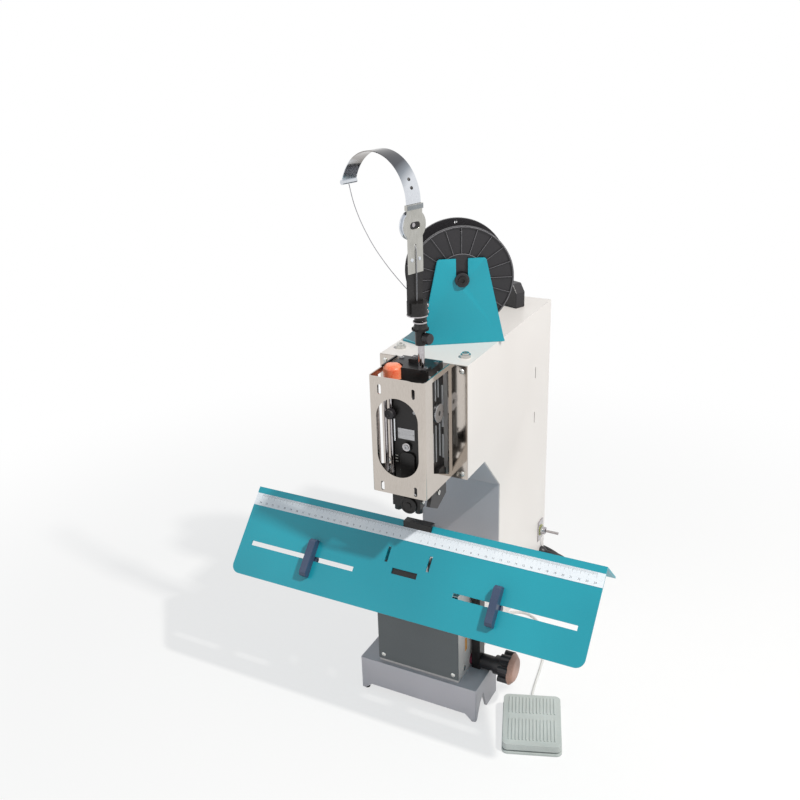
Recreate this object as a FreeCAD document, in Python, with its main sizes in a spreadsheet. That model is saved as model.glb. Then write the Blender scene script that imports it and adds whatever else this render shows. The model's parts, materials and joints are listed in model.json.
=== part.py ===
import FreeCAD, Part
import math
import os
import Sketcher

# A desk saddle wire stitcher in millimetres.
# X runs to the operator's right, Y away from the operator and Z up from the floor.
# X is zero on the machine's middle plane and Y on the front of the cabinet's head.

Vector = FreeCAD.Vector
Rotation = FreeCAD.Rotation
Placement = FreeCAD.Placement

SIZES = {
    # Gaps and stock shared by several pieces
    "running_gap": 0.3,
    "slide_gap": 0.2,
    "pivot_gap": 0.05,
    "sheet_wall": 2,
    # Foot plinths
    "pad_height": 1.5,
    "pad_radius": 4,
    "pad_inset": 5.5,
    "plinth_width": 176,
    "plinth_height": 51.5,
    "plinth_wall": 4,
    "plinth_corner": 2,
    "front_plinth_front": -40,
    "front_plinth_depth": 74,
    "rear_plinth_front": 240,
    "rear_plinth_depth": 60,
    "apron_rise": 9,
    "apron_half": 72,
    "apron_slope": 10,
    "notch_front_inset": 5,
    "notch_knee_inset": 15.2,
    "notch_knee_rise": 20.2,
    "notch_apex_inset": 26,
    "notch_apex_rise": 31.5,
    "notch_rear_inset": 38.5,
    # Cabinet
    "cabinet_width": 120,
    "cabinet_depth": 300,
    "cabinet_top": 498,
    "head_underside": 346,
    "head_reach": 54,
    "column_front": 108,
    "throat_slope": 47.5,
    "lower_arm_top": 190,
    "lower_arm_front": -33.5,
    "throat_skin": 1,
    "throat_skin_front": 3,
    "vent_y": 242,
    "vent_low": 334.3,
    "vent_high": 404,
    "vent_width": 3,
    "vent_height": 18,
    "cover_thickness": 1.5,
    "louvre_count": 7,
    "louvre_pitch": 14,
    "louvre_height": 4,
    "louvre_width": 70,
    "louvre_first": 330,
    # Front panel
    "panel_thickness": 2,
    "panel_width": 120.8,
    "panel_low": 57.6,
    "panel_high": 188,
    "panel_screw_inset": 7.5,
    "screw_head": 3.4,
    "screw_rise": 1.6,
    # Anvil post
    "anvil_y": -21.6,
    "anvil_base_width": 40,
    "anvil_base_depth": 26,
    "anvil_base_rise": 10,
    "anvil_base_shift": 3.6,
    "anvil_width": 28,
    "anvil_depth": 12,
    "anvil_top": 263,
    # Folding table, about its ridge
    "table_length": 500,
    "table_sheet": 2,
    "table_front": 123.5,
    "table_back": 56.5,
    "table_angle": 47.3,
    "table_corner": 12,
    "ridge_z": 279.2,
    "ridge_slot_half": 20.3,
    "ridge_slot_reach": 13,
    "stop_slot_inner": 71.5,
    "stop_slot_outer": 232.5,
    "stop_slot_reach": 78.8,
    "stop_slot_half": 3.2,
    "sight_slot_x": 29.7,
    "sight_slot_near": 38.4,
    "sight_slot_far": 58.7,
    "sight_slot_width": 4.5,
    "flat_slot_half": 18,
    "flat_slot_near": 63.9,
    "flat_slot_far": 71.7,
    "ruler_near": 9,
    "ruler_width": 17.2,
    "ruler_thickness": 0.5,
    "pivot_reach": 34,
    "pivot_drop": 77.5,
    "pivot_rod": 5,
    "rib_inner": 54,
    "rib_thickness": 4,
    "rib_boss": 10,
    "rib_front": 64,
    "rib_back": 52,
    "ridge_die_rise": 2,
    "flat_die_depth": 6,
    "flat_die_margin": 1,
    # Back stops
    "stop_width": 10,
    "stop_height": 12,
    "stop_near": 54,
    "stop_far": 105,
    "stop_bevel": 4,
    "stop_pin": 3,
    "stop_right_x": 129,
    "stop_left_x": -136,
    "nut_radius": 7,
    "nut_depth": 8,
    "stem_depth": 13,
    # Table carriage and clamp
    "bar_inner": 63,
    "bar_width": 12,
    "bar_depth": 16,
    "bar_low": 53.5,
    "bar_above": 10,
    "clamp_z": 63.5,
    "clamp_radius": 4,
    "collar_radius": 7,
    "lift_travel": 3,
    "clamp_end": 84,
    "knob_hub_radius": 10,
    "knob_hub_length": 19.7,
    "knob_neck_radius": 13,
    "knob_neck_length": 10,
    "knob_radius": 22.5,
    "knob_length": 14,
    "knob_lobes": 7,
    "knob_lobe_radius": 5,
    "knob_cap_radius": 21,
    "knob_cap_rise": 5,
    # Guard
    "guard_sheet": 1.5,
    "guard_half": 37,
    "guard_reach": 73,
    "guard_low": 345,
    "guard_high": 497.5,
    "guard_bend": 4,
    "flange_half": 59.7,
    "window_radius": 28,
    "window_low": 397.5,
    "window_high": 445,
    "oblong_x": 22.5,
    "oblong_low": 354,
    "oblong_high": 482,
    "oblong_radius": 2.3,
    "oblong_length": 8,
    "side_window_front": 51,
    "side_window_rear": 6,
    "side_window_top": 491,
    "side_window_low": 351,
    "side_window_knee": 372,
    "guard_screw_x": 52.6,
    "guard_screw_low": 352.3,
    "guard_screw_high": 490.6,
    # Head
    "head_half": 27,
    "head_front": 40,
    "head_low": 350,
    "head_high": 500,
    "channel_half": 9.2,
    "channel_front": 31,
    "channel_rear": 13,
    "channel_top": 484,
    "head_window_half": 19.5,
    "head_window_low": 420,
    "head_window_high": 462,
    "face_left": -16,
    "face_right": 24,
    "face_depth": 10,
    "face_low": 352,
    "face_high": 470,
    "face_round": 14,
    "plate_left": -11,
    "plate_right": 11.6,
    "plate_low": 411,
    "plate_high": 425,
    "plate_thickness": 0.6,
    "face_screw_x": 1.5,
    "face_screw_z": 401,
    "face_screw_radius": 6,
    "lever_left": -8,
    "lever_right": 12,
    "lever_low": 356,
    "lever_high": 394,
    "lever_thickness": 3,
    "rod_radius": 2.5,
    "rod_left_x": -30,
    "rod_right_x": -22,
    "rod_front": 46,
    "rod_low": 360,
    "rod_high": 482,
    "rod_holder_height": 9,
    "rod_holder_margin": 1,
    "jaw_left": -24,
    "jaw_right": 15,
    "jaw_front": 46,
    "jaw_rear": 34,
    "jaw_low": 314,
    "jaw_nut": 5,
    "jaw_nut_rise": 7,
    "cap_x": -22,
    "cap_y": -38,
    "cap_radius": 12,
    "cap_low": 484,
    "cap_high": 502,
    "cap_dome": 4,
    "former_low": 311,
    "former_high": 480,
    "former_front": 30.8,
    "former_rear": 22,
    "driver_rear": 13.2,
    "driver_low": 314,
    "driver_high": 470,
    "slide_half": 9,
    "stroke": 22,
    "yoke_half": 18,
    "yoke_low": 446,
    "yoke_high": 458,
    "yoke_rear": 3,
    "lever_pivot_y": -18,
    "lever_pivot_z": 359,
    "lever_pin": 3,
    "supporter_sheet": 5,
    "supporter_nose": 36.6,
    "supporter_nose_drop": 33,
    "supporter_brow": 31,
    "supporter_brow_drop": 22,
    "supporter_chin": 14,
    "supporter_chin_drop": 46,
    "supporter_heel": 12,
    "supporter_heel_drop": 35,
    "supporter_head": 6,
    "feed_y": -22,
    "feed_z": 440,
    "feed_radius": 12,
    "feed_width": 5,
    # Drive inside the cabinet
    "shaft_radius": 8,
    "shaft_end": 215,
    "crank_radius": 18,
    "crank_front": 12,
    "crank_thickness": 8,
    "crank_pin": 4,
    "bulkhead_front": 40,
    "bulkhead_rear": 200,
    "bulkhead_sheet": 4,
    "bearing_radius": 18,
    "bearing_length": 12,
    "collar_width": 7,
    "collar_outer": 14,
    "wheel_front": 140,
    "wheel_radius": 48,
    "wheel_width": 12,
    "belt_width": 9,
    "belt_thickness": 4,
    "motor_z": 160,
    "motor_radius": 42,
    "motor_front": 160,
    "motor_length": 105,
    "motor_shaft": 6,
    "motor_shaft_depth": 20,
    "motor_pulley_radius": 20,
    "shelf_thickness": 4,
    "shelf_front": 125,
    # Arm over the head, in its own turned frame
    "arm_x": 12.3,
    "arm_y": -30,
    "arm_turn": 72,
    "arm_rod_w": 0.8,
    "arm_rod_radius": 4,
    "arm_rod_low": 486,
    "arm_collar_low": 529,
    "arm_collar_high": 547,
    "arm_collar_radius": 6.2,
    "arm_knob_z": 538,
    "arm_knob_radius": 6.3,
    "arm_knob_length": 9,
    "flare_radius": 10,
    "flare_top_radius": 7,
    "flare_high": 556,
    "neck_radius": 7.5,
    "neck_high": 566,
    "clamp_body_radius": 12.5,
    "clamp_body_high": 583,
    "clamp_body_w": -4,
    "strip_w": -7.5,
    "strip_width": 23.5,
    "strip_thickness": 3,
    "strip_low": 570,
    "strip_high": 628,
    "link_sheet": 1.5,
    "link_low": 618,
    "link_high": 696.5,
    "rivet_z": 634,
    "rivet_spread": 6,
    "rivet_radius": 1.9,
    "roller_z": 672.7,
    "roller_radius": 17.3,
    "roller_groove": 13.5,
    "roller_rim": 1.5,
    "roller_width": 6.8,
    "roller_bore": 4,
    "pin_head_radius": 6,
    "head_slot_reach": 8,
    "head_slot_radius": 4.4,
    "head_slot_depth": 0.8,
    "feed_slot_low": 646.7,
    "feed_slot_high": 650.4,
    "feed_slot_radius": 1.3,
    "band_low": 690.5,
    "band_height": 6,
    "band_thickness": 1,
    "strap_width": 22.5,
    "strap_thickness": 1,
    "strap_radius": 54.5,
    "strap_sweep": 165,
    "strap_tip_radius": 3,
    "strap_hole": 1.4,
    "strap_hole_low": 714,
    "strap_hole_high": 723,
    "wire_radius": 0.5,
    "wire_clearance": 1,
    # Spool and its bracket, in their own turned frame
    "bracket_x": -18,
    "bracket_y": 47.8,
    "bracket_turn": 32.4,
    "bracket_sheet": 2.5,
    "bracket_bottom_left": -8.5,
    "bracket_bottom_right": 100.6,
    "bracket_top_left": 14.9,
    "bracket_top_right": 76.2,
    "bracket_rise": 111,
    "bracket_depth": 63,
    "bracket_corner": 4,
    "bracket_wing": 20,
    "bracket_wing_depth": 24,
    "axle_w": 45.8,
    "axle_rise": 84.3,
    "axle_radius": 7.2,
    "axle_head_radius": 9.2,
    "axle_head": 3,
    "spool_radius": 66.5,
    "spool_front": 6,
    "spool_width": 50,
    "spool_flange": 3,
    "spool_barrel": 27,
    "spool_rib_count": 20,
    "spool_rib_phase": 0.5,
    "spool_rib_width": 1.4,
    "spool_rib_rise": 1.3,
    "spool_rib_inner": 24,
    "spool_rim": 2.5,
    "spool_hole_reach": 61,
    "spool_hole": 2,
    "winding_core": 39,
    "winding_loops": 18,
    "winding_pitch": 2.25,
    "winding_wire": 0.6,
    "winding_rise": 0.35,
    # Roof pieces and switch
    "block_x": 29.7,
    "block_y": 238.2,
    "block_turn": 154.7,
    "block_length": 50,
    "block_width": 17,
    "block_height": 34,
    "block_shoulder": 22,
    "block_ridge_near": 8,
    "block_ridge_far": 30,
    "roof_bolt_y": 27.7,
    "roof_bolt_x": 45,
    "roof_bolt_radius": 6.5,
    "roof_bolt_rise": 4,
    "side_screw_y": -16,
    "side_screw_z": 66,
    "switch_inset": 20,
    "switch_z": 125,
    "switch_width": 20,
    "switch_height": 34,
    "switch_plate": 2,
    "switch_bush": 6,
    "switch_bush_length": 8,
    "switch_bore": 3.6,
    "toggle_root_radius": 1.8,
    "toggle_radius": 2.2,
    "toggle_length": 21,
    # Pedal, in its own turned frame
    "pedal_x": 161,
    "pedal_y": -21,
    "pedal_turn": 20.2,
    "pedal_width": 78,
    "pedal_depth": 93,
    "pedal_base_front": 4,
    "pedal_base_rear": 9,
    "pedal_hinge_rise": 12,
    "pedal_hinge_depth": 9,
    "pedal_gap_front": 2.4,
    "pedal_front": 16,
    "pedal_rear": 22,
    "pedal_corner": 8,
    "pedal_lip": 0.8,
    "pedal_ribs": 14,
    "pedal_rib_width": 2,
    "pedal_rib_rise": 1.2,
    "pedal_rib_inset": 8,
    "pedal_rib_front": 9,
    "pedal_rib_middle": 46,
    "pedal_rib_split": 11,
    "pedal_rib_rear": 86,
    # Cords
    "mains_cord_radius": 3.5,
    "mains_gland_inset": 14,
    "mains_gland_z": 83,
    "mains_gland_radius": 8,
    "mains_gland_length": 10,
    "plug_length": 42,
    "plug_width": 38,
    "plug_height": 26,
    "pedal_cord_radius": 2,
    "pedal_gland_radius": 6,
    "pedal_gland_length": 9,
    "pedal_gland_x": 30,
    "pedal_gland_y": 70,
    "mains_coil_x": -75,
    "mains_coil_y": 380,
    "mains_coil_radius": 38.5,
    "mains_coil_turns": 3,
    "pedal_coil_x": -34,
    "pedal_coil_y": 120,
    "pedal_coil_radius": 22,
    "pedal_coil_turns": 2,
    "pedal_exit_height": 5,
    "plug_front": 0,
    "plug_y": 326.5,
    "plug_pin_radius": 2.4,
    "plug_pin_spread": 9.5,
    "plug_pin_length": 19,
}


class Size:
    # A length or an angle with its number and the sheet formula that it comes from.
    def __init__(self, value, formula=None):
        self.value = float(value)
        self.formula = formula or f"({self.value:.9g})"

    def __add__(self, other):
        other = as_size(other)
        return Size(self.value + other.value, f"({self.formula} + {other.formula})")

    def __sub__(self, other):
        other = as_size(other)
        return Size(self.value - other.value, f"({self.formula} - {other.formula})")

    def __mul__(self, other):
        other = as_size(other)
        return Size(self.value * other.value, f"({self.formula} * {other.formula})")

    def __truediv__(self, other):
        other = as_size(other)
        return Size(self.value / other.value, f"({self.formula} / {other.formula})")

    def __radd__(self, other):
        return as_size(other) + self

    def __rsub__(self, other):
        return as_size(other) - self

    def __rmul__(self, other):
        return as_size(other) * self

    def __neg__(self):
        return as_size(0) - self


def as_size(value):
    return value if isinstance(value, Size) else Size(value)


def sine(angle):
    return Size(math.sin(math.radians(angle.value)), f"sin({angle.formula})")


def cosine(angle):
    return Size(math.cos(math.radians(angle.value)), f"cos({angle.formula})")


def tangent(angle):
    return Size(math.tan(math.radians(angle.value)), f"tan({angle.formula})")


def root(value):
    return Size(math.sqrt(value.value), f"sqrt({value.formula})")


class NamedSizes:
    pass


document = FreeCAD.newDocument("SaddleWireStitcher")
sheet = document.addObject("Spreadsheet::Sheet", "Sizes")
size = NamedSizes()
for row, (alias, number) in enumerate(SIZES.items(), start=1):
    sheet.set(f"A{row}", alias)
    sheet.set(f"B{row}", str(number))
    sheet.setAlias(f"B{row}", alias)
    setattr(size, alias, Size(number, f"Sizes.{alias}"))
document.recompute()

nodes = []


def bind(item, path, value):
    item.setExpression(path, as_size(value).formula)


def place(item, corner, axis=None, turn=0):
    x, y, z = (as_size(value) for value in corner)
    rotation = Rotation(Vector(*axis), as_size(turn).value) if axis else Rotation()
    item.Placement = Placement(Vector(x.value, y.value, z.value), rotation)
    bind(item, "Placement.Base.x", x)
    bind(item, "Placement.Base.y", y)
    bind(item, "Placement.Base.z", z)
    if isinstance(turn, Size):
        bind(item, "Placement.Rotation.Angle", turn)
    return item


def node(label, item):
    item.Label = label
    nodes.append(item)
    return item


def block(x, y, z):
    item = document.addObject("Part::Box", "Block")
    for path, span in (("Length", x), ("Width", y), ("Height", z)):
        bind(item, path, as_size(span[1]) - span[0])
    return place(item, (x[0], y[0], z[0]))


AXIS_TURNS = {"x": ((0, 1, 0), 90), "y": ((1, 0, 0), -90), "z": (None, 0)}


def along(axis, low, across):
    # Start point of a round piece: its lower end on the axis, and the two other coordinates in X, Y, Z order.
    first, second = across
    return {"x": (low, first, second), "y": (first, low, second), "z": (first, second, low)}[axis]


def rod(axis, across, span, radius, top_radius=None):
    kind = "Part::Cylinder" if top_radius is None else "Part::Cone"
    item = document.addObject(kind, "Rod")
    bind(item, "Height", as_size(span[1]) - span[0])
    if top_radius is None:
        bind(item, "Radius", radius)
    else:
        bind(item, "Radius1", radius)
        bind(item, "Radius2", top_radius)
    turn_axis, turn = AXIS_TURNS[axis]
    return place(item, along(axis, span[0], across), turn_axis, turn)


def cut(base, *tools):
    tool = tools[0] if len(tools) == 1 else fuse(*tools)
    item = document.addObject("Part::Cut", "Cut")
    item.Base = base
    item.Tool = tool
    return item


def fuse(*items):
    item = document.addObject("Part::MultiFuse", "Joined")
    item.Shapes = list(items)
    item.Refine = True
    return item


def group(*items):
    item = document.addObject("Part::Compound", "Group")
    item.Links = list(items)
    return item


def ring(axis, across, span, radius, bore):
    return cut(rod(axis, across, span, radius), rod(axis, across, span, bore))


PLANES = {"xy": "XY_Plane", "xz": "XZ_Plane", "yz": "YZ_Plane"}


def new_body():
    return document.addObject("PartDesign::Body", "Body")


def sketch_on(body, plane, offset):
    sketch = body.newObject("Sketcher::SketchObject", "Outline")
    support = next(item for item in body.Origin.OriginFeatures if item.Role == PLANES[plane])
    sketch.AttachmentSupport = [(support, "")]
    sketch.MapMode = "FlatFace"
    bind(sketch, "AttachmentOffset.Base.z", offset)
    return sketch


def fix_point(sketch, geometry, position, across, up):
    for kind, value in (("DistanceX", as_size(across)), ("DistanceY", as_size(up))):
        index = sketch.addConstraint(Sketcher.Constraint(kind, -1, 1, geometry, position, value.value))
        bind(sketch, f"Constraints[{index}]", value)


def fix_radius(sketch, geometry, radius):
    index = sketch.addConstraint(Sketcher.Constraint("Radius", geometry, as_size(radius).value))
    bind(sketch, f"Constraints[{index}]", radius)


def draw_polygon(sketch, corners):
    first = sketch.GeometryCount
    points = [Vector(as_size(across).value, as_size(up).value, 0) for across, up in corners]
    count = len(points)
    for index, point in enumerate(points):
        sketch.addGeometry(Part.LineSegment(point, points[(index + 1) % count]), False)
    for index in range(count):
        following = first + (index + 1) % count
        sketch.addConstraint(Sketcher.Constraint("Coincident", first + index, 2, following, 1))
    for index, (across, up) in enumerate(corners):
        fix_point(sketch, first + index, 1, across, up)


def draw_circle(sketch, across, up, radius):
    first = sketch.GeometryCount
    centre = Vector(as_size(across).value, as_size(up).value, 0)
    sketch.addGeometry(Part.Circle(centre, Vector(0, 0, 1), as_size(radius).value), False)
    fix_point(sketch, first, 3, across, up)
    fix_radius(sketch, first, radius)


def draw_slot(sketch, start, end, radius):
    # A round-ended slot between two centres.
    first = sketch.GeometryCount
    centres = [Vector(as_size(across).value, as_size(up).value, 0) for across, up in (start, end)]
    reach = as_size(radius).value
    heading = math.atan2(centres[1].y - centres[0].y, centres[1].x - centres[0].x)
    side = Vector(-math.sin(heading), math.cos(heading), 0) * reach
    quarter = math.pi / 2
    for centre, begin in ((centres[0], heading + quarter), (centres[1], heading - quarter)):
        circle = Part.Circle(centre, Vector(0, 0, 1), reach)
        sketch.addGeometry(Part.ArcOfCircle(circle, begin, begin + math.pi), False)
    sketch.addGeometry(Part.LineSegment(centres[0] - side, centres[1] - side), False)
    sketch.addGeometry(Part.LineSegment(centres[1] + side, centres[0] + side), False)
    near, far, lower, upper = first, first + 1, first + 2, first + 3
    for arc, arc_end, line, line_end in ((near, 2, lower, 1), (far, 1, lower, 2),
                                         (far, 2, upper, 1), (near, 1, upper, 2)):
        sketch.addConstraint(Sketcher.Constraint("Tangent", arc, arc_end, line, line_end))
    fix_point(sketch, near, 3, *start)
    fix_point(sketch, far, 3, *end)
    fix_radius(sketch, near, radius)


def draw(sketch, outlines):
    for outline in outlines:
        if outline[0] == "circle":
            draw_circle(sketch, *outline[1:])
        elif outline[0] == "slot":
            draw_slot(sketch, *outline[1:])
        else:
            draw_polygon(sketch, outline)


def pad(body, plane, span, *outlines):
    # The XZ plane's normal points to -Y, so its pads start at their far end.
    low, high = span
    sketch = sketch_on(body, plane, -as_size(high) if plane == "xz" else low)
    draw(sketch, outlines)
    feature = body.newObject("PartDesign::Pad", "Pad")
    feature.Profile = sketch
    bind(feature, "Length", as_size(high) - low)
    return body


def pocket(body, plane, span, *outlines):
    # A pocket grows against the plane's normal, so it starts where a pad would end.
    low, high = span
    before = recomputed_volume(body)
    sketch = sketch_on(body, plane, -as_size(low) if plane == "xz" else high)
    draw(sketch, outlines)
    feature = body.newObject("PartDesign::Pocket", "Pocket")
    feature.Profile = sketch
    bind(feature, "Length", as_size(high) - low)
    if recomputed_volume(body) >= before:
        raise ValueError(f"a pocket of {body.Name} cuts nothing")
    return body


def recomputed_volume(body):
    document.recompute()
    return body.Shape.Volume


def rectangle(across, up):
    return [(across[0], up[0]), (across[1], up[0]), (across[1], up[1]), (across[0], up[1])]


def round_edges(body, axis, radius, chosen):
    # Rounds the straight edges along one axis whose middle passes the given test.
    document.recompute()
    names = []
    for index, edge in enumerate(body.Shape.Edges, start=1):
        if edge.Curve.TypeId != "Part::GeomLine":
            continue
        direction = edge.tangentAt(edge.FirstParameter)
        if abs(getattr(direction, axis)) > 0.999 and chosen(edge.CenterOfMass):
            names.append(f"Edge{index}")
    rounded = body.Tip
    feature = body.newObject("PartDesign::Fillet", "Rounding")
    feature.Base = (rounded, names)
    bind(feature, "Radius", radius)
    return body


def turned(profile, sweep=360):
    # A profile of (radius, height) corners turned about the vertical axis.
    body = new_body()
    sketch = sketch_on(body, "xz", 0)
    draw(sketch, [profile])
    feature = body.newObject("PartDesign::Revolution", "Turning")
    feature.Profile = sketch
    feature.ReferenceAxis = (sketch, ["V_Axis"])
    feature.Angle = sweep
    return body


def near(first, second):
    return abs(first - as_size(second).value) < 0.01


def mirrored_pair(value):
    return (-value, value)


# Foot plinths, hollow beneath, each on four rubber pads

plinth_top = size.pad_height + size.plinth_height
plinth_half = size.plinth_width / 2


def make_plinth(front, depth, notched):
    body = new_body()
    wall = size.plinth_wall
    rear = front + depth
    inner_half = plinth_half - wall
    low = size.pad_height
    pad(body, "xy", (low, plinth_top), rectangle((-plinth_half, plinth_half), (front, rear)))
    middle = (front + depth / 2).value
    round_edges(body, "z", size.plinth_corner, lambda centre: abs(centre.y - middle) > 1)
    pocket(body, "xy", (low, plinth_top - wall),
           rectangle((-inner_half, inner_half), (front + wall, rear - wall)))
    slope_end = size.apron_half + size.apron_slope
    apron = [(-slope_end, low), (-size.apron_half, low + size.apron_rise),
             (size.apron_half, low + size.apron_rise), (slope_end, low)]
    pocket(body, "xz", (front, rear), apron)
    if notched:
        notch = [(front + size.notch_front_inset, low),
                 (front + size.notch_knee_inset, low + size.notch_knee_rise),
                 (front + size.notch_apex_inset, low + size.notch_apex_rise),
                 (front + size.notch_rear_inset, low)]
        pocket(body, "yz", (-plinth_half, plinth_half), notch)
    return body


def pads_under(front, depth):
    inset = size.pad_inset
    return [rod("z", (x, y), (0, size.pad_height), size.pad_radius)
            for x in mirrored_pair(plinth_half - inset) for y in (front + inset, front + depth - inset)]


node("foot_plinths", group(make_plinth(size.front_plinth_front, size.front_plinth_depth, True),
                           make_plinth(size.rear_plinth_front, size.rear_plinth_depth, False)))
node("rubber_pads", group(*pads_under(size.front_plinth_front, size.front_plinth_depth),
                          *pads_under(size.rear_plinth_front, size.rear_plinth_depth)))


# Cabinet: a white C-shaped shell, open at the back, with a grey skin in its throat

half = size.cabinet_width / 2
wall = size.sheet_wall
throat_drop = (size.column_front - size.head_reach) * tangent(size.throat_slope)
column_head = size.head_underside - throat_drop
# Offsetting the throat's two corners by one thickness shifts them along the walls they join.
underside_shift = tangent(size.throat_slope / 2)
column_shift = tangent((90 - size.throat_slope) / 2)
yoke_window = rectangle(mirrored_pair(size.head_window_half), (size.head_window_low, size.head_window_high))


def cabinet_outline(inset):
    open_rear = size.cabinet_depth + (0 if inset.value == 0 else 1)
    return [(inset, size.cabinet_top - inset), (open_rear, size.cabinet_top - inset),
            (open_rear, plinth_top + inset), (size.lower_arm_front + inset, plinth_top + inset),
            (size.lower_arm_front + inset, size.lower_arm_top - inset),
            (size.column_front + inset, size.lower_arm_top - inset),
            (size.column_front + inset, column_head + inset * column_shift),
            (size.head_reach + inset * underside_shift, size.head_underside + inset),
            (inset, size.head_underside + inset)]


cabinet = new_body()
pad(cabinet, "yz", mirrored_pair(half), cabinet_outline(as_size(0)))
pocket(cabinet, "yz", mirrored_pair(half - wall), cabinet_outline(wall))
pocket(cabinet, "xz", (0, wall), yoke_window)

# The table's pivot lies below its ridge, at a distance along and square to its front plate.
lean = size.table_angle
pivot_y = size.anvil_y - size.pivot_reach * cosine(lean) + size.pivot_drop * sine(lean)
pivot_z = size.ridge_z - size.pivot_reach * sine(lean) - size.pivot_drop * cosine(lean)

clamp_hole = ("circle", pivot_y, size.clamp_z, size.clamp_radius)
pocket(cabinet, "yz", mirrored_pair(half), clamp_hole)
switch_y = size.cabinet_depth - size.switch_inset
mains_gland_y = size.cabinet_depth - size.mains_gland_inset
switch_hole = ("circle", switch_y, size.switch_z, size.switch_bush)
gland_hole = ("circle", mains_gland_y, size.mains_gland_z, size.mains_cord_radius)
vent_reach = size.vent_height / 2 - size.vent_width / 2
vents = [("slot", (size.vent_y, level - vent_reach), (size.vent_y, level + vent_reach), size.vent_width / 2)
         for level in (size.vent_low, size.vent_high)]
pocket(cabinet, "yz", (half - wall, half), switch_hole, gland_hole, *vents)
pedal_hole = ("circle", size.pedal_gland_x, size.pedal_gland_y, size.pedal_cord_radius)
pocket(cabinet, "xy", (plinth_top, plinth_top + wall), pedal_hole)
node("cabinet_shell", cabinet)

skin = size.throat_skin
skin_half = half - skin
skin_low = size.lower_arm_top + skin
throat = new_body()
pad(throat, "yz", mirrored_pair(skin_half), [
    (size.throat_skin_front, size.head_underside), (size.head_reach, size.head_underside),
    (size.column_front, column_head), (size.column_front, skin_low),
    (size.column_front - skin, skin_low), (size.column_front - skin, column_head - skin * column_shift),
    (size.head_reach - skin * underside_shift, size.head_underside - skin),
    (size.throat_skin_front, size.head_underside - skin)])
node("throat_panel", throat)

cover = new_body()
cover_rear = size.cabinet_depth + size.cover_thickness
pad(cover, "xz", (size.cabinet_depth, cover_rear),
    rectangle(mirrored_pair(half), (plinth_top, size.cabinet_top)))
louvre_reach = size.louvre_width / 2
louvres = []
for index in range(SIZES["louvre_count"]):
    level = size.louvre_first + index * size.louvre_pitch
    louvres.append(("slot", (-louvre_reach, level), (louvre_reach, level), size.louvre_height / 2))
pocket(cover, "xz", (size.cabinet_depth, cover_rear), *louvres)
node("back_cover", cover)

panel_front = size.lower_arm_front - size.panel_thickness
node("front_panel", block(mirrored_pair(size.panel_width / 2), (panel_front, size.lower_arm_front),
                          (size.panel_low, size.panel_high)))


def screw_heads(axis, places, face, outward, radius, rise):
    # Raised heads on a face; outward is 1 or -1 along the axis.
    heads = []
    for across in places:
        span = (face, face + rise) if outward > 0 else (face - rise, face)
        heads.append(rod(axis, across, span, radius))
    return heads


screw_x = size.panel_width / 2 - size.panel_screw_inset
panel_places = [(x, z) for x in mirrored_pair(screw_x)
                for z in (size.panel_low + size.panel_screw_inset, size.panel_high - size.panel_screw_inset)]
panel_screws = screw_heads("y", panel_places, panel_front, -1, size.screw_head, size.screw_rise)
cover_places = [(x, z) for x in mirrored_pair(half - size.panel_screw_inset)
                for z in (plinth_top + size.panel_screw_inset, size.cabinet_top - size.panel_screw_inset)]
cover_screws = screw_heads("y", cover_places, cover_rear, 1, size.screw_head, size.screw_rise)
roof_places = [(x, size.roof_bolt_y) for x in mirrored_pair(size.roof_bolt_x)]
roof_bolts = screw_heads("z", roof_places, size.cabinet_top, 1, size.roof_bolt_radius, size.roof_bolt_rise)
side_bolt = screw_heads("x", [(size.side_screw_y, size.side_screw_z)], half, 1,
                        size.screw_head, size.screw_rise)
node("cabinet_bolts", group(*roof_bolts, *side_bolt))


# Anvil post on the lower arm

anvil_span = (size.lower_arm_top, size.lower_arm_top + size.anvil_base_rise)
anvil_middle = size.anvil_y + size.anvil_base_shift
anvil_base = block(mirrored_pair(size.anvil_base_width / 2),
                   (anvil_middle - size.anvil_base_depth / 2, anvil_middle + size.anvil_base_depth / 2),
                   anvil_span)
post_y = (size.anvil_y - size.anvil_depth / 2, size.anvil_y + size.anvil_depth / 2)
post = block(mirrored_pair(size.anvil_width / 2), post_y, (anvil_span[1], size.anvil_top))
node("anvil_post", fuse(anvil_base, post))


# Folding table, drawn about its ridge with the front plate flat, then leant to its saddle position

ridge = (0, size.anvil_y, size.ridge_z)


def on_table(item):
    return place(item, ridge, (1, 0, 0), lean)


table = new_body()
table_half = size.table_length / 2
plate = size.table_sheet
pad(table, "xy", (-plate, 0), rectangle(mirrored_pair(table_half), (-size.table_front, 0)))
pad(table, "xz", (-plate, 0), rectangle(mirrored_pair(table_half), (-size.table_back, 0)))
round_edges(table, "z", size.table_corner,
            lambda centre: near(centre.y, -size.table_front) and near(abs(centre.x), table_half))
ridge_cut = rectangle(mirrored_pair(size.ridge_slot_half), (-size.ridge_slot_reach, plate))
pocket(table, "xy", (-size.ridge_slot_reach, plate), ridge_cut)
stop_slots = [rectangle((side * size.stop_slot_inner, side * size.stop_slot_outer),
                        (-size.stop_slot_reach - size.stop_slot_half, -size.stop_slot_reach + size.stop_slot_half))
              for side in (1, -1)]
sight_reach = size.sight_slot_width / 2
sight_slots = [rectangle((side * size.sight_slot_x - sight_reach, side * size.sight_slot_x + sight_reach),
                         (-size.sight_slot_far, -size.sight_slot_near)) for side in (1, -1)]
flat_slot = rectangle(mirrored_pair(size.flat_slot_half), (-size.flat_slot_far, -size.flat_slot_near))
pocket(table, "xy", (-plate, 0), *stop_slots, *sight_slots, flat_slot)
node("table_plate", on_table(table))

ruler_body = new_body()
pad(ruler_body, "xy", (0, size.ruler_thickness),
    rectangle(mirrored_pair(table_half), (-size.ruler_near - size.ruler_width, -size.ruler_near)))
node("ruler", on_table(ruler_body))


web_share = 0.7  # how far the web's flanks meet the boss from its centre, as a share of its radius


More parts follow.
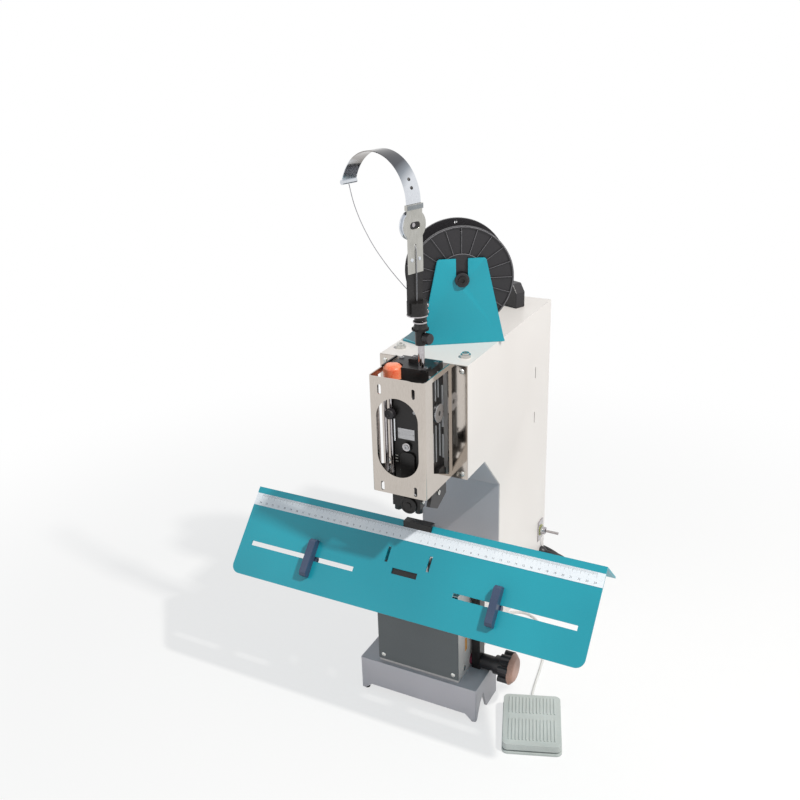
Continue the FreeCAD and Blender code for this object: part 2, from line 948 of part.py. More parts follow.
def make_rib(low):
    # A web from the pivot boss to both plates, with a running hole on the cross rod.
    body = new_body()
    span = (low, low + size.rib_thickness)
    boss = size.rib_boss
    web = [(-size.rib_front, -plate), (-plate, -plate), (-plate, -size.rib_back),
           (-size.pivot_reach + boss * web_share, -size.pivot_drop - boss * web_share),
           (-size.pivot_reach - boss * web_share, -size.pivot_drop - boss * web_share)]
    pad(body, "yz", span, web)
    pad(body, "yz", span, ("circle", -size.pivot_reach, -size.pivot_drop, boss))
    pocket(body, "yz", span, ("circle", -size.pivot_reach, -size.pivot_drop, size.pivot_rod + size.pivot_gap))
    return body


node("table_ribs", on_table(group(make_rib(size.rib_inner), make_rib(-size.rib_inner - size.rib_thickness))))

# The ridge die stands upright over the post while the table leans, so it is drawn in the world.
die_half = size.ridge_slot_half - size.running_gap
die_low = size.anvil_top + size.running_gap
ridge_die = block(mirrored_pair(die_half), post_y, (die_low, size.ridge_z + size.ridge_die_rise))
flat_die = new_body()
pad(flat_die, "xy", (-plate - size.flat_die_depth, -plate),
    rectangle(mirrored_pair(size.flat_slot_half + size.flat_die_margin),
              (-size.flat_slot_far - size.flat_die_margin, -size.flat_slot_near + size.flat_die_margin)))
node("clinch_dies", group(ridge_die, on_table(flat_die)))


# Back stops: a bar over the slot, a stem through it and a thumb nut beneath

def make_stop(x):
    body = new_body()
    reach = size.stop_width / 2
    bevel = size.stop_bevel
    top = size.stop_height
    side_view = [(-size.stop_far, 0), (-size.stop_near, 0), (-size.stop_near, top - bevel),
                 (-size.stop_near - bevel, top), (-size.stop_far + bevel, top), (-size.stop_far, top - bevel)]
    pad(body, "yz", (x - reach, x + reach), side_view)
    pad(body, "xy", (-size.stem_depth, 0), ("circle", x, -size.stop_slot_reach, size.stop_pin))
    nut_top = -plate - size.running_gap
    pad(body, "xy", (nut_top - size.nut_depth, nut_top), ("circle", x, -size.stop_slot_reach, size.nut_radius))
    return on_table(body)


node("stop_right", make_stop(size.stop_right_x))
node("stop_left", make_stop(size.stop_left_x))


# Carriage: two side bars joined by the table's pivot rod, slotted around the clamp shaft

def make_bar(low):
    body = new_body()
    span = (low, low + size.bar_width)
    reach = size.bar_depth / 2
    high = pivot_z + size.bar_above
    pad(body, "yz", span, rectangle((pivot_y - reach, pivot_y + reach), (size.bar_low, high)))
    slot_radius = size.clamp_radius + size.slide_gap
    slot = ("slot", (pivot_y, size.clamp_z - size.lift_travel), (pivot_y, size.clamp_z), slot_radius)
    pocket(body, "yz", span, slot)
    return body


bar_outer = size.bar_inner + size.bar_width
cross_rod = rod("x", (pivot_y, pivot_z), mirrored_pair(bar_outer), size.pivot_rod)
node("carriage", fuse(make_bar(size.bar_inner), make_bar(-bar_outer), cross_rod))

clamp_shaft = rod("x", (pivot_y, size.clamp_z), mirrored_pair(size.clamp_end), size.clamp_radius)
collar_outer = size.bar_inner - size.running_gap
node("clamp_shaft", group(
    clamp_shaft,
    ring("x", (pivot_y, size.clamp_z), (half, collar_outer), size.collar_radius, size.clamp_radius),
    ring("x", (pivot_y, size.clamp_z), (-collar_outer, -half), size.collar_radius, size.clamp_radius),
    ring("x", (pivot_y, size.clamp_z), (-size.clamp_end, -bar_outer - size.running_gap),
         size.collar_radius, size.clamp_radius)))

# Star knob on the shaft's right end, its hub bored for the shaft
knob_low = bar_outer + size.running_gap
hub_high = knob_low + size.knob_hub_length
neck_high = hub_high + size.knob_neck_length
star_high = neck_high + size.knob_length

knob_parts = [
    rod("x", (pivot_y, size.clamp_z), (knob_low, hub_high), size.knob_hub_radius),
    rod("x", (pivot_y, size.clamp_z), (hub_high, neck_high), size.knob_neck_radius),
    rod("x", (pivot_y, size.clamp_z), (neck_high, star_high), size.knob_radius - size.knob_lobe_radius),
    rod("x", (pivot_y, size.clamp_z), (star_high, star_high + size.knob_cap_rise),
        size.knob_cap_radius, size.knob_cap_radius - size.knob_cap_rise)]
lobe_reach = size.knob_radius - size.knob_lobe_radius
for index in range(SIZES["knob_lobes"]):
    angle = as_size(360 * index / SIZES["knob_lobes"])
    lobe_centre = (pivot_y + lobe_reach * cosine(angle), size.clamp_z + lobe_reach * sine(angle))
    knob_parts.append(rod("x", lobe_centre, (neck_high, star_high), size.knob_lobe_radius))
knob_bore = rod("x", (pivot_y, size.clamp_z), (knob_low, size.clamp_end + size.running_gap),
                size.clamp_radius + size.pivot_gap)
node("star_knob", cut(fuse(*knob_parts), knob_bore))


# Guard: a folded stainless sheet with two flanges on the cabinet's front

guard = new_body()
steel = size.guard_sheet
inner = size.guard_half - steel
front = -size.guard_reach
flange = size.flange_half
guard_span = (size.guard_low, size.guard_high)
pad(guard, "xy", guard_span, [
    (-flange, 0), (-flange, -steel), (-size.guard_half, -steel), (-size.guard_half, front),
    (size.guard_half, front), (size.guard_half, -steel), (flange, -steel), (flange, 0),
    (inner, 0), (inner, front + steel), (-inner, front + steel), (-inner, 0)])
round_edges(guard, "z", size.guard_bend, lambda centre: near(centre.y, front))
round_edges(guard, "z", size.guard_bend - steel, lambda centre: near(centre.y, front + steel))
oblong_reach = size.oblong_length / 2
oblongs = [("slot", (x, z - oblong_reach), (x, z + oblong_reach), size.oblong_radius)
           for x in mirrored_pair(size.oblong_x) for z in (size.oblong_low, size.oblong_high)]
window = ("slot", (0, size.window_low), (0, size.window_high), size.window_radius)
pocket(guard, "xz", (front, front + steel), window, *oblongs)
side_window = [(-size.side_window_front, size.side_window_top), (-size.side_window_rear, size.side_window_top),
               (-size.side_window_rear, size.side_window_low), (-size.side_window_front, size.side_window_knee)]
pocket(guard, "yz", mirrored_pair(size.guard_half), side_window)
node("guard", guard)
guard_places = [(x, z) for x in mirrored_pair(size.guard_screw_x)
                for z in (size.guard_screw_low, size.guard_screw_high)]
guard_screws = screw_heads("y", guard_places, -steel, -1, size.screw_head, size.screw_rise)
node("small_screws", group(*panel_screws, *cover_screws, *guard_screws))


# Stitching head on the cabinet's front: body with the slide channel, face, levers and jaw

channel = block(mirrored_pair(size.channel_half), (-size.channel_front, -size.channel_rear),
                (size.head_low - 1, size.channel_top))
yoke_opening = block(mirrored_pair(size.head_window_half), (-size.channel_rear, 0),
                     (size.head_window_low, size.head_window_high))
cap_seat = rod("z", (size.cap_x, size.cap_y), (size.cap_low, size.head_high),
               size.cap_radius + size.running_gap)
arm_seat = rod("z", (size.arm_x + size.arm_rod_w * cosine(size.arm_turn),
                     size.arm_y + size.arm_rod_w * sine(size.arm_turn)),
               (size.arm_rod_low, size.head_high), size.arm_rod_radius)
lever_pin = rod("x", (size.lever_pivot_y, size.lever_pivot_z),
                (size.head_half, size.head_half + size.running_gap + size.supporter_sheet), size.lever_pin)
feed_pin = rod("x", (size.feed_y, size.feed_z),
               (size.head_half, size.head_half + size.running_gap + size.feed_width), size.lever_pin)
head_block = block(mirrored_pair(size.head_half), (-size.head_front, 0), (size.head_low, size.head_high))
head = cut(head_block, channel, yoke_opening, cap_seat, arm_seat)
rod_low_end = size.rod_low - size.rod_holder_height
holder_half = size.rod_radius + size.rod_holder_margin
holders = [block((size.rod_left_x - holder_half, size.rod_right_x + holder_half),
                 (-size.rod_front - holder_half, -size.head_front), span)
           for span in ((rod_low_end, size.rod_low), (size.rod_high - size.rod_holder_height, size.rod_high))]
rod_bores = [rod("z", (x, -size.rod_front), (rod_low_end, size.rod_high), size.rod_radius)
             for x in (size.rod_left_x, size.rod_right_x)]
jaw = block((size.jaw_left, size.jaw_right), (-size.jaw_front, -size.jaw_rear), (size.jaw_low, size.head_low))
jaw_y = -(size.jaw_front + size.jaw_rear) / 2
jaw_nuts = [rod("z", (x, jaw_y), (size.jaw_low - size.jaw_nut_rise, size.jaw_low), size.jaw_nut)
            for x in (size.jaw_left + size.jaw_nut, size.jaw_right - size.jaw_nut)]
holder_blocks = cut(fuse(*holders), *rod_bores)
node("lower_jaw", fuse(jaw, *jaw_nuts))
node("guide_rods", group(*[rod("z", (x, -size.rod_front), (rod_low_end, size.rod_high), size.rod_radius)
                           for x in (size.rod_left_x, size.rod_right_x)]))
face = new_body()
face_front = -size.head_front - size.face_depth
pad(face, "xz", (face_front, -size.head_front),
    rectangle((size.face_left, size.face_right), (size.face_low, size.face_high)))
round_edges(face, "y", size.face_round, lambda centre: near(centre.z, size.face_high))
node("head_body", fuse(head, lever_pin, feed_pin, holder_blocks, face))
label_span = (face_front - size.plate_thickness, face_front)
node("face_plate", block((size.plate_left, size.plate_right), label_span, (size.plate_low, size.plate_high)))
clamp_lever = new_body()
lever_front = face_front - size.lever_thickness
pad(clamp_lever, "xz", (lever_front, face_front),
    rectangle((size.lever_left, size.lever_right), (size.lever_low, size.lever_high)))
round_edges(clamp_lever, "y", size.face_screw_radius, lambda centre: near(centre.z, size.lever_high))
screw_seat = (size.face_screw_x, size.face_screw_z)
face_screw = rod("y", screw_seat, (face_front - size.screw_rise, face_front), size.face_screw_radius)
node("clamp_lever", group(clamp_lever, face_screw))
cap_at = (size.cap_x, size.cap_y)
cap_shoulder = size.cap_high - size.cap_dome
node("red_cap", fuse(rod("z", cap_at, (size.cap_low, cap_shoulder), size.cap_radius),
                     rod("z", cap_at, (cap_shoulder, size.cap_high), size.cap_radius,
                         size.cap_radius - size.cap_dome)))

slide_reach = mirrored_pair(size.slide_half)
node("former_slide", block(slide_reach, (-size.former_front, -size.former_rear),
                           (size.former_low, size.former_high)))
driver_front = -size.former_rear + size.slide_gap
driver = block(slide_reach, (driver_front, -size.driver_rear), (size.driver_low, size.driver_high))
yoke = block(mirrored_pair(size.yoke_half), (-size.driver_rear + size.slide_gap, size.yoke_rear),
             (size.yoke_low, size.yoke_high))
yoke_neck = block(slide_reach, (-size.driver_rear, -size.driver_rear + size.slide_gap),
                  (size.yoke_low, size.yoke_high))
node("driver_slide", fuse(driver, yoke, yoke_neck))

lever_span = (size.head_half + size.running_gap, size.head_half + size.running_gap + size.supporter_sheet)
supporter = new_body()
nose_y = size.lever_pivot_y
nose_z = size.lever_pivot_z
head_reach = size.supporter_head
pad(supporter, "yz", lever_span, [
    (nose_y - size.supporter_nose, nose_z - size.supporter_nose_drop),
    (nose_y - size.supporter_chin, nose_z - size.supporter_chin_drop),
    (nose_y + size.supporter_heel, nose_z - size.supporter_heel_drop),
    (nose_y + size.supporter_heel, nose_z),
    (nose_y + head_reach, nose_z + head_reach), (nose_y - head_reach, nose_z + head_reach),
    (nose_y - size.supporter_brow, nose_z - size.supporter_brow_drop)])
pocket(supporter, "yz", lever_span, ("circle", nose_y, nose_z, size.lever_pin + size.pivot_gap))
node("supporter", supporter)
feed_span = (size.head_half + size.running_gap, size.head_half + size.running_gap + size.feed_width)
node("feed_wheel", ring("x", (size.feed_y, size.feed_z), feed_span, size.feed_radius,
                        size.lever_pin + size.pivot_gap))


# Drive in the cabinet: motor, belt and the crank shaft that pushes the driver slide

shaft_z = (size.yoke_low + size.yoke_high) / 2 - size.stroke / 2
pin_front = size.yoke_rear + size.running_gap
crank_rear = size.crank_front + size.crank_thickness
shaft_parts = [
    rod("y", (0, shaft_z), (crank_rear, size.shaft_end), size.shaft_radius),
    rod("y", (0, shaft_z), (size.crank_front, crank_rear), size.crank_radius),
    rod("y", (0, shaft_z + size.stroke / 2), (pin_front, size.crank_front), size.crank_pin)]
crank_shaft = fuse(*shaft_parts)
wheel_span = (size.wheel_front, size.wheel_front + size.wheel_width)
node("drive_wheel", ring("y", (0, shaft_z), wheel_span, size.wheel_radius, size.shaft_radius))
bulkheads = []
bearings = []
collars = []
for front_face, collar_side in ((size.bulkhead_front, 1), (size.bulkhead_rear, -1)):
    sheet_span = (front_face, front_face + size.bulkhead_sheet)
    panel = block(mirrored_pair(half - wall), sheet_span,
                  (size.head_underside + wall, size.cabinet_top - wall))
    bulkheads.append(cut(panel, rod("y", (0, shaft_z), sheet_span, size.bearing_radius)))
    bearing_span = (front_face, front_face + size.bearing_length)
    bearings.append(ring("y", (0, shaft_z), bearing_span, size.bearing_radius, size.shaft_radius + size.pivot_gap))
    collar_low = bearing_span[1] + size.running_gap if collar_side > 0 else (
        front_face - size.running_gap - size.collar_width)
    collars.append(ring("y", (0, shaft_z), (collar_low, collar_low + size.collar_width),
                        size.collar_outer, size.shaft_radius))
node("shaft_bearings", group(*bearings))
node("main_shaft", group(crank_shaft, *collars))
shelf_top = size.motor_z - size.motor_radius
shelf = block(mirrored_pair(half - wall), (size.shelf_front, size.cabinet_depth - wall),
              (shelf_top - size.shelf_thickness, shelf_top))
node("inner_frame", group(*bulkheads, shelf))

motor_rear = size.motor_front + size.motor_length
motor_bore = (size.motor_front, size.motor_front + size.motor_shaft_depth)
node("motor", cut(rod("y", (0, size.motor_z), (size.motor_front, motor_rear), size.motor_radius),
                  rod("y", (0, size.motor_z), motor_bore, size.motor_shaft + size.pivot_gap)))
pulley = rod("y", (0, size.motor_z), wheel_span, size.motor_pulley_radius)
motor_shaft = rod("y", (0, size.motor_z), (size.wheel_front, motor_bore[1] - size.running_gap),
                  size.motor_shaft)
node("motor_pulley", fuse(pulley, motor_shaft))


def belt_loop(depth, spread):
    # The space inside a band round both wheels, spread beyond their rims.
    upper = size.wheel_radius + spread
    lower = size.motor_pulley_radius + spread
    rise = (upper - lower) / (shaft_z - size.motor_z)
    run = root(1 - rise * rise)
    web = new_body()
    pad(web, "xz", depth, [
        (-upper * run, shaft_z - upper * rise), (upper * run, shaft_z - upper * rise),
        (lower * run, size.motor_z - lower * rise), (-lower * run, size.motor_z - lower * rise)])
    return fuse(web, rod("y", (0, shaft_z), depth, upper), rod("y", (0, size.motor_z), depth, lower))


belt_margin = (size.wheel_width - size.belt_width) / 2
belt_depth = (size.wheel_front + belt_margin, wheel_span[1] - belt_margin)
node("drive_belt", cut(belt_loop(belt_depth, size.running_gap + size.belt_thickness),
                       belt_loop(belt_depth, size.running_gap)))


# Arm over the head; its frame's X runs along the strip's width and its Y along the strap's arch

def on_arm(item):
    return place(item, (size.arm_x, size.arm_y, 0), (0, 0, 1), size.arm_turn)


def arm_point(width, reach, height):
    turn = size.arm_turn
    return (size.arm_x + width * cosine(turn) - reach * sine(turn),
            size.arm_y + width * sine(turn) + reach * cosine(turn), height)


mast = (size.arm_rod_w, 0)
arm_mast = rod("z", mast, (size.arm_rod_low, size.arm_collar_high), size.arm_rod_radius)
arm_collar = rod("z", mast, (size.arm_collar_low, size.arm_collar_high), size.arm_collar_radius)
node("arm_rod", on_arm(fuse(arm_mast, arm_collar)))
knob_end = -size.arm_collar_radius - size.running_gap
node("clamp_knob", on_arm(group(
    rod("y", (size.arm_rod_w, size.arm_knob_z), (knob_end - size.arm_knob_length, knob_end), size.arm_knob_radius))))
strip_half = size.strip_width / 2
strip_low = (size.strip_w - strip_half, size.strip_w + strip_half)
strip_span = (-size.strip_thickness / 2, size.strip_thickness / 2)
flare = rod("z", mast, (size.arm_collar_high, size.flare_high), size.flare_radius, size.flare_top_radius)
neck = rod("z", mast, (size.flare_high, size.neck_high), size.neck_radius)
clamp_body = rod("z", (size.clamp_body_w, 0), (size.neck_high, size.clamp_body_high), size.clamp_body_radius)
strip_slot = block(strip_low, strip_span, (size.strip_low, size.clamp_body_high))
node("arm_clamp", on_arm(cut(fuse(flare, neck, clamp_body), strip_slot)))
node("arm_strip", on_arm(group(block(strip_low, strip_span, (size.strip_low, size.strip_high)))))

link_face = strip_span[0] - size.link_sheet
link_span = (link_face, strip_span[0])
link_sheet = block(strip_low, link_span, (size.link_low, size.link_high))
link_head = rod("y", (size.strip_w, size.roller_z), link_span, size.roller_radius)
rivets = [rod("y", (size.strip_w + side * size.rivet_spread, size.rivet_z),
              (link_face - size.link_sheet / 2, link_face), size.rivet_radius) for side in (1, -1)]
roller_front = strip_span[0] + size.running_gap
roller_span = (roller_front, roller_front + size.roller_width)
pin_end = roller_span[1] + size.running_gap
roller_pin = rod("y", (size.strip_w, size.roller_z), (strip_span[0], pin_end), size.roller_bore)
pin_head = rod("y", (size.strip_w, size.roller_z), (pin_end, pin_end + size.link_sheet), size.pin_head_radius)
link_cuts = new_body()
pad(link_cuts, "xz", (link_face, link_face + size.head_slot_depth),
    ("slot", (size.strip_w - size.head_slot_reach + size.head_slot_radius, size.roller_z),
     (size.strip_w + size.head_slot_reach - size.head_slot_radius, size.roller_z), size.head_slot_radius))
feed_slot = new_body()
pad(feed_slot, "xz", link_span, ("slot", (size.strip_w, size.feed_slot_low), (size.strip_w, size.feed_slot_high),
                                 size.feed_slot_radius))
link = cut(fuse(link_sheet, link_head), link_cuts, feed_slot)
band_outer = block((strip_low[0] - size.band_thickness, strip_low[1] + size.band_thickness),
                   (link_face - size.band_thickness, strip_span[0] + size.strap_thickness + size.band_thickness),
                   (size.band_low, size.band_low + size.band_height))
band_inner = block(strip_low, (link_face, strip_span[0] + size.strap_thickness),
                   (size.band_low, size.band_low + size.band_height))
node("link_plate", on_arm(group(fuse(link, *rivets, roller_pin, pin_head), cut(band_outer, band_inner))))
rim = size.roller_rim
groove = size.roller_groove
edge = size.roller_radius
bore = size.roller_bore + size.pivot_gap
width = size.roller_width
groove_edge = rim * 1.6  # the groove's flanks lean by 0.6 of the rim's width
roller = turned([(bore, 0), (edge, 0), (edge, rim), (groove, groove_edge), (groove, width - groove_edge),
                 (edge, width - rim), (edge, width), (bore, width)])
place(roller, (size.strip_w, roller_span[0], size.roller_z), (1, 0, 0), -90)
node("roller", on_arm(group(roller)))

# Spring strap: a flat strip rolled to an arch, with a curled tip and two holes near its root
arch = new_body()
strap_root = strip_span[0] + size.strap_thickness / 2
arch_y = strap_root + size.strap_radius
strap_z = size.band_low + size.band_height + size.running_gap
strap_edge = size.strap_thickness / 2
arch_sketch = sketch_on(arch, "xy", 0)
draw(arch_sketch, [rectangle(mirrored_pair(size.strap_width / 2),
                             (-size.strap_radius - strap_edge, -size.strap_radius + strap_edge))])
arch_turn = arch.newObject("PartDesign::Revolution", "Arch")
arch_turn.Profile = arch_sketch
arch_turn.ReferenceAxis = (arch_sketch, ["H_Axis"])
arch_turn.Reversed = True
bind(arch_turn, "Angle", size.strap_sweep)
place(arch, (size.strip_w, arch_y, strap_z))
tip_angle = 180 - size.strap_sweep
tip_y = arch_y + size.strap_radius * cosine(tip_angle)
tip_z = strap_z + size.strap_radius * sine(tip_angle)
strap_across = (size.strip_w - size.strap_width / 2, size.strip_w + size.strap_width / 2)
tip = rod("x", (tip_y, tip_z), strap_across, size.strap_tip_radius)
strap_holes = [rod("y", (size.strip_w, level), (strap_root - size.strap_width, strap_root + size.strap_width),
                   size.strap_hole) for level in (size.strap_hole_low, size.strap_hole_high)]
node("strap", on_arm(cut(fuse(arch, tip), *strap_holes)))


# Wires and cords: straight runs joined by tangent arcs, and wound forms joined from short arcs

arc_share = 0.45  # the part of the shorter run that a corner's arc takes up


def corner_arc(before, corner, after):
    # The arc that rounds one corner, tangent to both of its runs.
    back = before - corner
    ahead = after - corner
    reach = arc_share * min(back.Length, ahead.Length)
    half_turn = (math.pi - back.getAngle(ahead)) / 2
    radius = reach / math.tan(half_turn)
    back.normalize()
    ahead.normalize()
    start = corner + back * reach
    end = corner + ahead * reach
    inward = (back + ahead).normalize()
    middle = corner + inward * (radius / math.cos(half_turn) - radius)
    return start, middle, end, radius


def route_edges(points):
    edges = []
    radii = []
    last = points[0]
    for before, corner, after in zip(points, points[1:], points[2:]):
        start, middle, end, radius = corner_arc(before, corner, after)
        edges.append(Part.LineSegment(last, start).toShape())
        edges.append(Part.Arc(start, middle, end).toShape())
        radii.append(radius)
        last = end
    edges.append(Part.LineSegment(last, points[-1]).toShape())
    return edges, radii


def arc_middle(start, heading, end):
    # The point halfway along the arc that leaves start along heading and ends at end.
    chord = end - start
    outward = chord - heading * chord.dot(heading)
    if outward.Length < 1e-9:
        return None
    outward.normalize()
    radius = chord.dot(chord) / (2 * chord.dot(outward))
    centre = start + outward * radius
    bisector = ((start - centre) + (end - centre)).normalize()
    return centre + bisector * radius


def biarc_edges(knots):
    # Joins (point, heading) knots by pairs of arcs that meet with one heading.
    edges = []
    for (start, leave), (end, arrive) in zip(knots, knots[1:]):
        span = end - start
        total = leave + arrive
        factor = 2 * (1 - leave.dot(arrive))
        lean_in = span.dot(total)
        reach = (math.sqrt(lean_in ** 2 + factor * span.dot(span)) - lean_in) / factor
        joint = (start + end + (leave - arrive) * reach) / 2
        edges.append(Part.Arc(start, arc_middle(start, leave, joint), joint).toShape())
        back_middle = arc_middle(end, -arrive, joint)
        edges.append(Part.Arc(joint, back_middle, end).toShape())
    return edges


def tube_shape(edges, radius, label):
    path = Part.Wire(edges)
    first = path.OrderedEdges[0]
    start = first.valueAt(first.FirstParameter)
    heading = first.tangentAt(first.FirstParameter)
    ring_wire = Part.Wire(Part.Circle(start, heading, radius).toShape())
    shape = path.makePipeShell([ring_wire], True, False)
    expected = math.pi * radius ** 2 * path.Length
    print(f"{label}: length {path.Length:.1f}, volume {shape.Volume / expected:.4f} of section times length")
    return shape


def print_least_gap(edges, radius, label):
    # Points along the path, compared where they lie more than a third of a loop apart.
    path = Part.Wire(edges)
    spots = path.discretize(Distance=radius)
    skip = 12
    cells = {}
    step = radius * 6
    for index, spot in enumerate(spots):
        cells.setdefault((int(spot.x // step), int(spot.y // step), int(spot.z // step)), []).append(index)
    least = 1e9
    for (a, b, c), members in cells.items():
        around = [other for i in (-1, 0, 1) for j in (-1, 0, 1) for k in (-1, 0, 1)
                  for other in cells.get((a + i, b + j, c + k), ())]
        for index in members:
            for other in around:
                if other - index > skip:
                    least = min(least, spots[index].distanceToPoint(spots[other]))
    print(f"{label}: least gap to itself {least - 2 * radius:.2f}")


def add_shape(label, shape):
    item = document.addObject("Part::Feature", "Wound")
    item.Shape = shape
    return node(label, item)


def cord_route(points, radius, label):
    edges, radii = route_edges(points)
    print(f"{label}: corner radii {', '.join(f'{value:.0f}' for value in radii)}")
    return tube_shape(edges, radius, label)


def numbers(point):
    return Vector(*(as_size(value).value for value in point))


def on_spool(width, reach, height):
    turn = size.bracket_turn
    return (size.bracket_x + width * cosine(turn) - reach * sine(turn),
            size.bracket_y + width * sine(turn) + reach * cosine(turn), height)


axle_z = size.cabinet_top + size.axle_rise

# The wound wire: a plain core on the barrel and one outer layer of loops over it
spool_front = size.spool_front.value
winding_start = spool_front + size.spool_flange.value + size.winding_wire.value + 1
winding_radius = size.winding_core.value + size.winding_rise.value + size.winding_wire.value


def winding_knot(quarter, pitch):
    angle = math.pi + quarter * math.pi / 2
    reach = winding_start + pitch * quarter / 4
    centre = numbers(on_spool(size.axle_w, as_size(reach), axle_z))
    side = numbers(on_spool(size.axle_w + 1, as_size(reach), axle_z)) - centre
    back = numbers(on_spool(size.axle_w, as_size(reach + 1), axle_z)) - centre
    up = Vector(0, 0, 1)
    point = centre + side * (winding_radius * math.cos(angle)) + up * (winding_radius * math.sin(angle))
    heading = up * (winding_radius * math.cos(angle)) - side * (winding_radius * math.sin(angle))
    heading = heading + back * (pitch / (2 * math.pi))
    return point, heading.normalize()


loops = SIZES["winding_loops"]
knots = [winding_knot(quarter, size.winding_pitch.value) for quarter in range(4 * loops + 1)]
wire = size.winding_wire.value
wire_run = 2 * wire  # the straight run at each end of the winding
winding_edges = biarc_edges(knots)
start_run = Part.LineSegment(knots[0][0] - knots[0][1] * wire_run, knots[0][0]).toShape()
end_run = Part.LineSegment(knots[-1][0], knots[-1][0] + knots[-1][1] * wire_run).toShape()
winding_edges = [start_run] + winding_edges + [end_run]
print_least_gap(winding_edges, wire, "winding")
winding_tube = tube_shape(winding_edges, wire, "winding")


# Spool bracket, axle and spool; their frame's X runs across the bracket and its Y to the rear

def at_spool(item):
    return place(item, (size.bracket_x, size.bracket_y, 0), (0, 0, 1), size.bracket_turn)


roof = size.cabinet_top
bracket_top = roof + size.bracket_rise
slot_half = size.axle_radius + size.running_gap
cheek = [(size.bracket_bottom_left, roof), (size.bracket_bottom_right, roof),
         (size.bracket_top_right, bracket_top), (size.axle_w + slot_half, bracket_top),
         (size.axle_w + slot_half, axle_z), (size.axle_w - slot_half, axle_z),
         (size.axle_w - slot_half, bracket_top), (size.bracket_top_left, bracket_top)]
bracket = new_body()
bracket_sheet = size.bracket_sheet
rear_cheek = (size.bracket_depth - bracket_sheet, size.bracket_depth)
pad(bracket, "xz", (0, bracket_sheet), cheek)
wing_tip = size.bracket_bottom_left - size.bracket_wing
pad(bracket, "xy", (roof, roof + bracket_sheet), [
    (size.bracket_bottom_left, 0), (size.bracket_bottom_right, 0),
    (size.bracket_bottom_right, size.bracket_depth), (size.bracket_bottom_left, size.bracket_depth),
    (wing_tip, size.bracket_wing_depth)])
pad(bracket, "xz", rear_cheek, cheek)
round_edges(bracket, "y", size.bracket_corner,
            lambda centre: near(centre.z, bracket_top) and (near(centre.x, size.bracket_top_left)
                                                            or near(centre.x, size.bracket_top_right)))
axle_seat = ("circle", size.axle_w, axle_z, slot_half)
pocket(bracket, "xz", (0, size.bracket_depth), axle_seat)
node("spool_bracket", at_spool(bracket))
axle_ends = (-size.running_gap, size.bracket_depth + size.running_gap)
axle_at = (size.axle_w, axle_z)
node("spool_axle", at_spool(fuse(
    rod("y", axle_at, axle_ends, size.axle_radius),
    rod("y", axle_at, (axle_ends[0] - size.axle_head, axle_ends[0]), size.axle_head_radius),
    rod("y", axle_at, (axle_ends[1], axle_ends[1] + size.axle_head), size.axle_head_radius))))

spool_bore = size.axle_radius + size.pivot_gap
reach = size.spool_radius
flange_sheet = size.spool_flange
spool_end = size.spool_width
spool_turn = turned([
    (spool_bore, 0), (reach, 0), (reach, flange_sheet), (size.spool_barrel, flange_sheet),
    (size.spool_barrel, spool_end - flange_sheet), (reach, spool_end - flange_sheet), (reach, spool_end),
    (spool_bore, spool_end)])
place(spool_turn, (size.axle_w, size.spool_front, axle_z), (1, 0, 0), -90)
spool_face = (size.spool_front - size.spool_rib_rise, size.spool_front)
spool_rear_face = (size.spool_front + spool_end, size.spool_front + spool_end + size.spool_rib_rise)
spool_parts = [spool_turn]
for face_span in (spool_face, spool_rear_face):
    spool_parts.append(ring("y", axle_at, face_span, reach, reach - size.spool_rim))
    spool_parts.append(ring("y", axle_at, face_span, size.spool_rib_inner, spool_bore))
    for index in range(SIZES["spool_rib_count"]):
        spoke = block((size.spool_rib_inner - size.spool_rib_rise, reach - size.spool_rim / 2),
                      (0, size.spool_rib_rise), mirrored_pair(size.spool_rib_width / 2))
        turn = as_size(360 * index / SIZES["spool_rib_count"] + SIZES["spool_rib_phase"])
        holder = group(spoke)
        place(holder, (size.axle_w, face_span[0], axle_z), (0, 1, 0), turn)
        spool_parts.append(holder)
tie_hole = rod("y", (size.axle_w, axle_z + size.spool_hole_reach),
               (spool_face[0], size.spool_front + spool_end), size.spool_hole)
node("spool", at_spool(cut(fuse(*spool_parts), tie_hole)))
core_low = size.spool_front + flange_sheet
core = ring("y", axle_at, (core_low, size.spool_front + spool_end - flange_sheet),
            size.winding_core, size.spool_barrel)
winding_layer = document.addObject("Part::Feature", "Layer")
winding_layer.Shape = winding_tube
node("wire_winding", group(at_spool(core), winding_layer))

# Wire from the strap's tip through the air to the winding, and down the strip to the clamp
tip_centre = numbers(arm_point(size.strip_w, tip_y, tip_z - size.strap_tip_radius - size.running_gap))
winding_end = knots[-1][0] + knots[-1][1] * wire_run
free_wire = [tip_centre, Vector(-87.8, -1, 684.2), Vector(-80.9, 4, 658.9), Vector(-68.3, 10, 629.8),
             Vector(-53.3, 18, 603.7), Vector(-41.9, 25, 585.9), Vector(-35.2, 30, 575.6),
             Vector(-42.6, 46.4, 570), Vector(-45, 66, 567.5), Vector(-42.4, 80, 566), Vector(-40.6, 91, 568.5),
             winding_end + knots[-1][1] * 12 * wire, winding_end]
add_shape("wire_to_spool", cord_route(free_wire, size.wire_radius.value, "wire to the spool"))
wire_high = size.roller_z - size.roller_radius - size.wire_clearance
feed_wire = [numbers(arm_point(size.strip_w, (roller_span[0] + roller_span[1]) / 2, wire_high)),
             numbers(arm_point(size.strip_w, link_face - size.wire_clearance, size.feed_slot_low)),
             numbers(arm_point(size.strip_w, link_face - size.wire_clearance, size.rivet_z)),
             numbers(arm_point(size.strip_w, link_face, size.clamp_body_high + size.wire_clearance))]
add_shape("wire_feed", cord_route(feed_wire, size.wire_radius.value, "wire down the strip"))


# Dark block on the roof, switch and glands

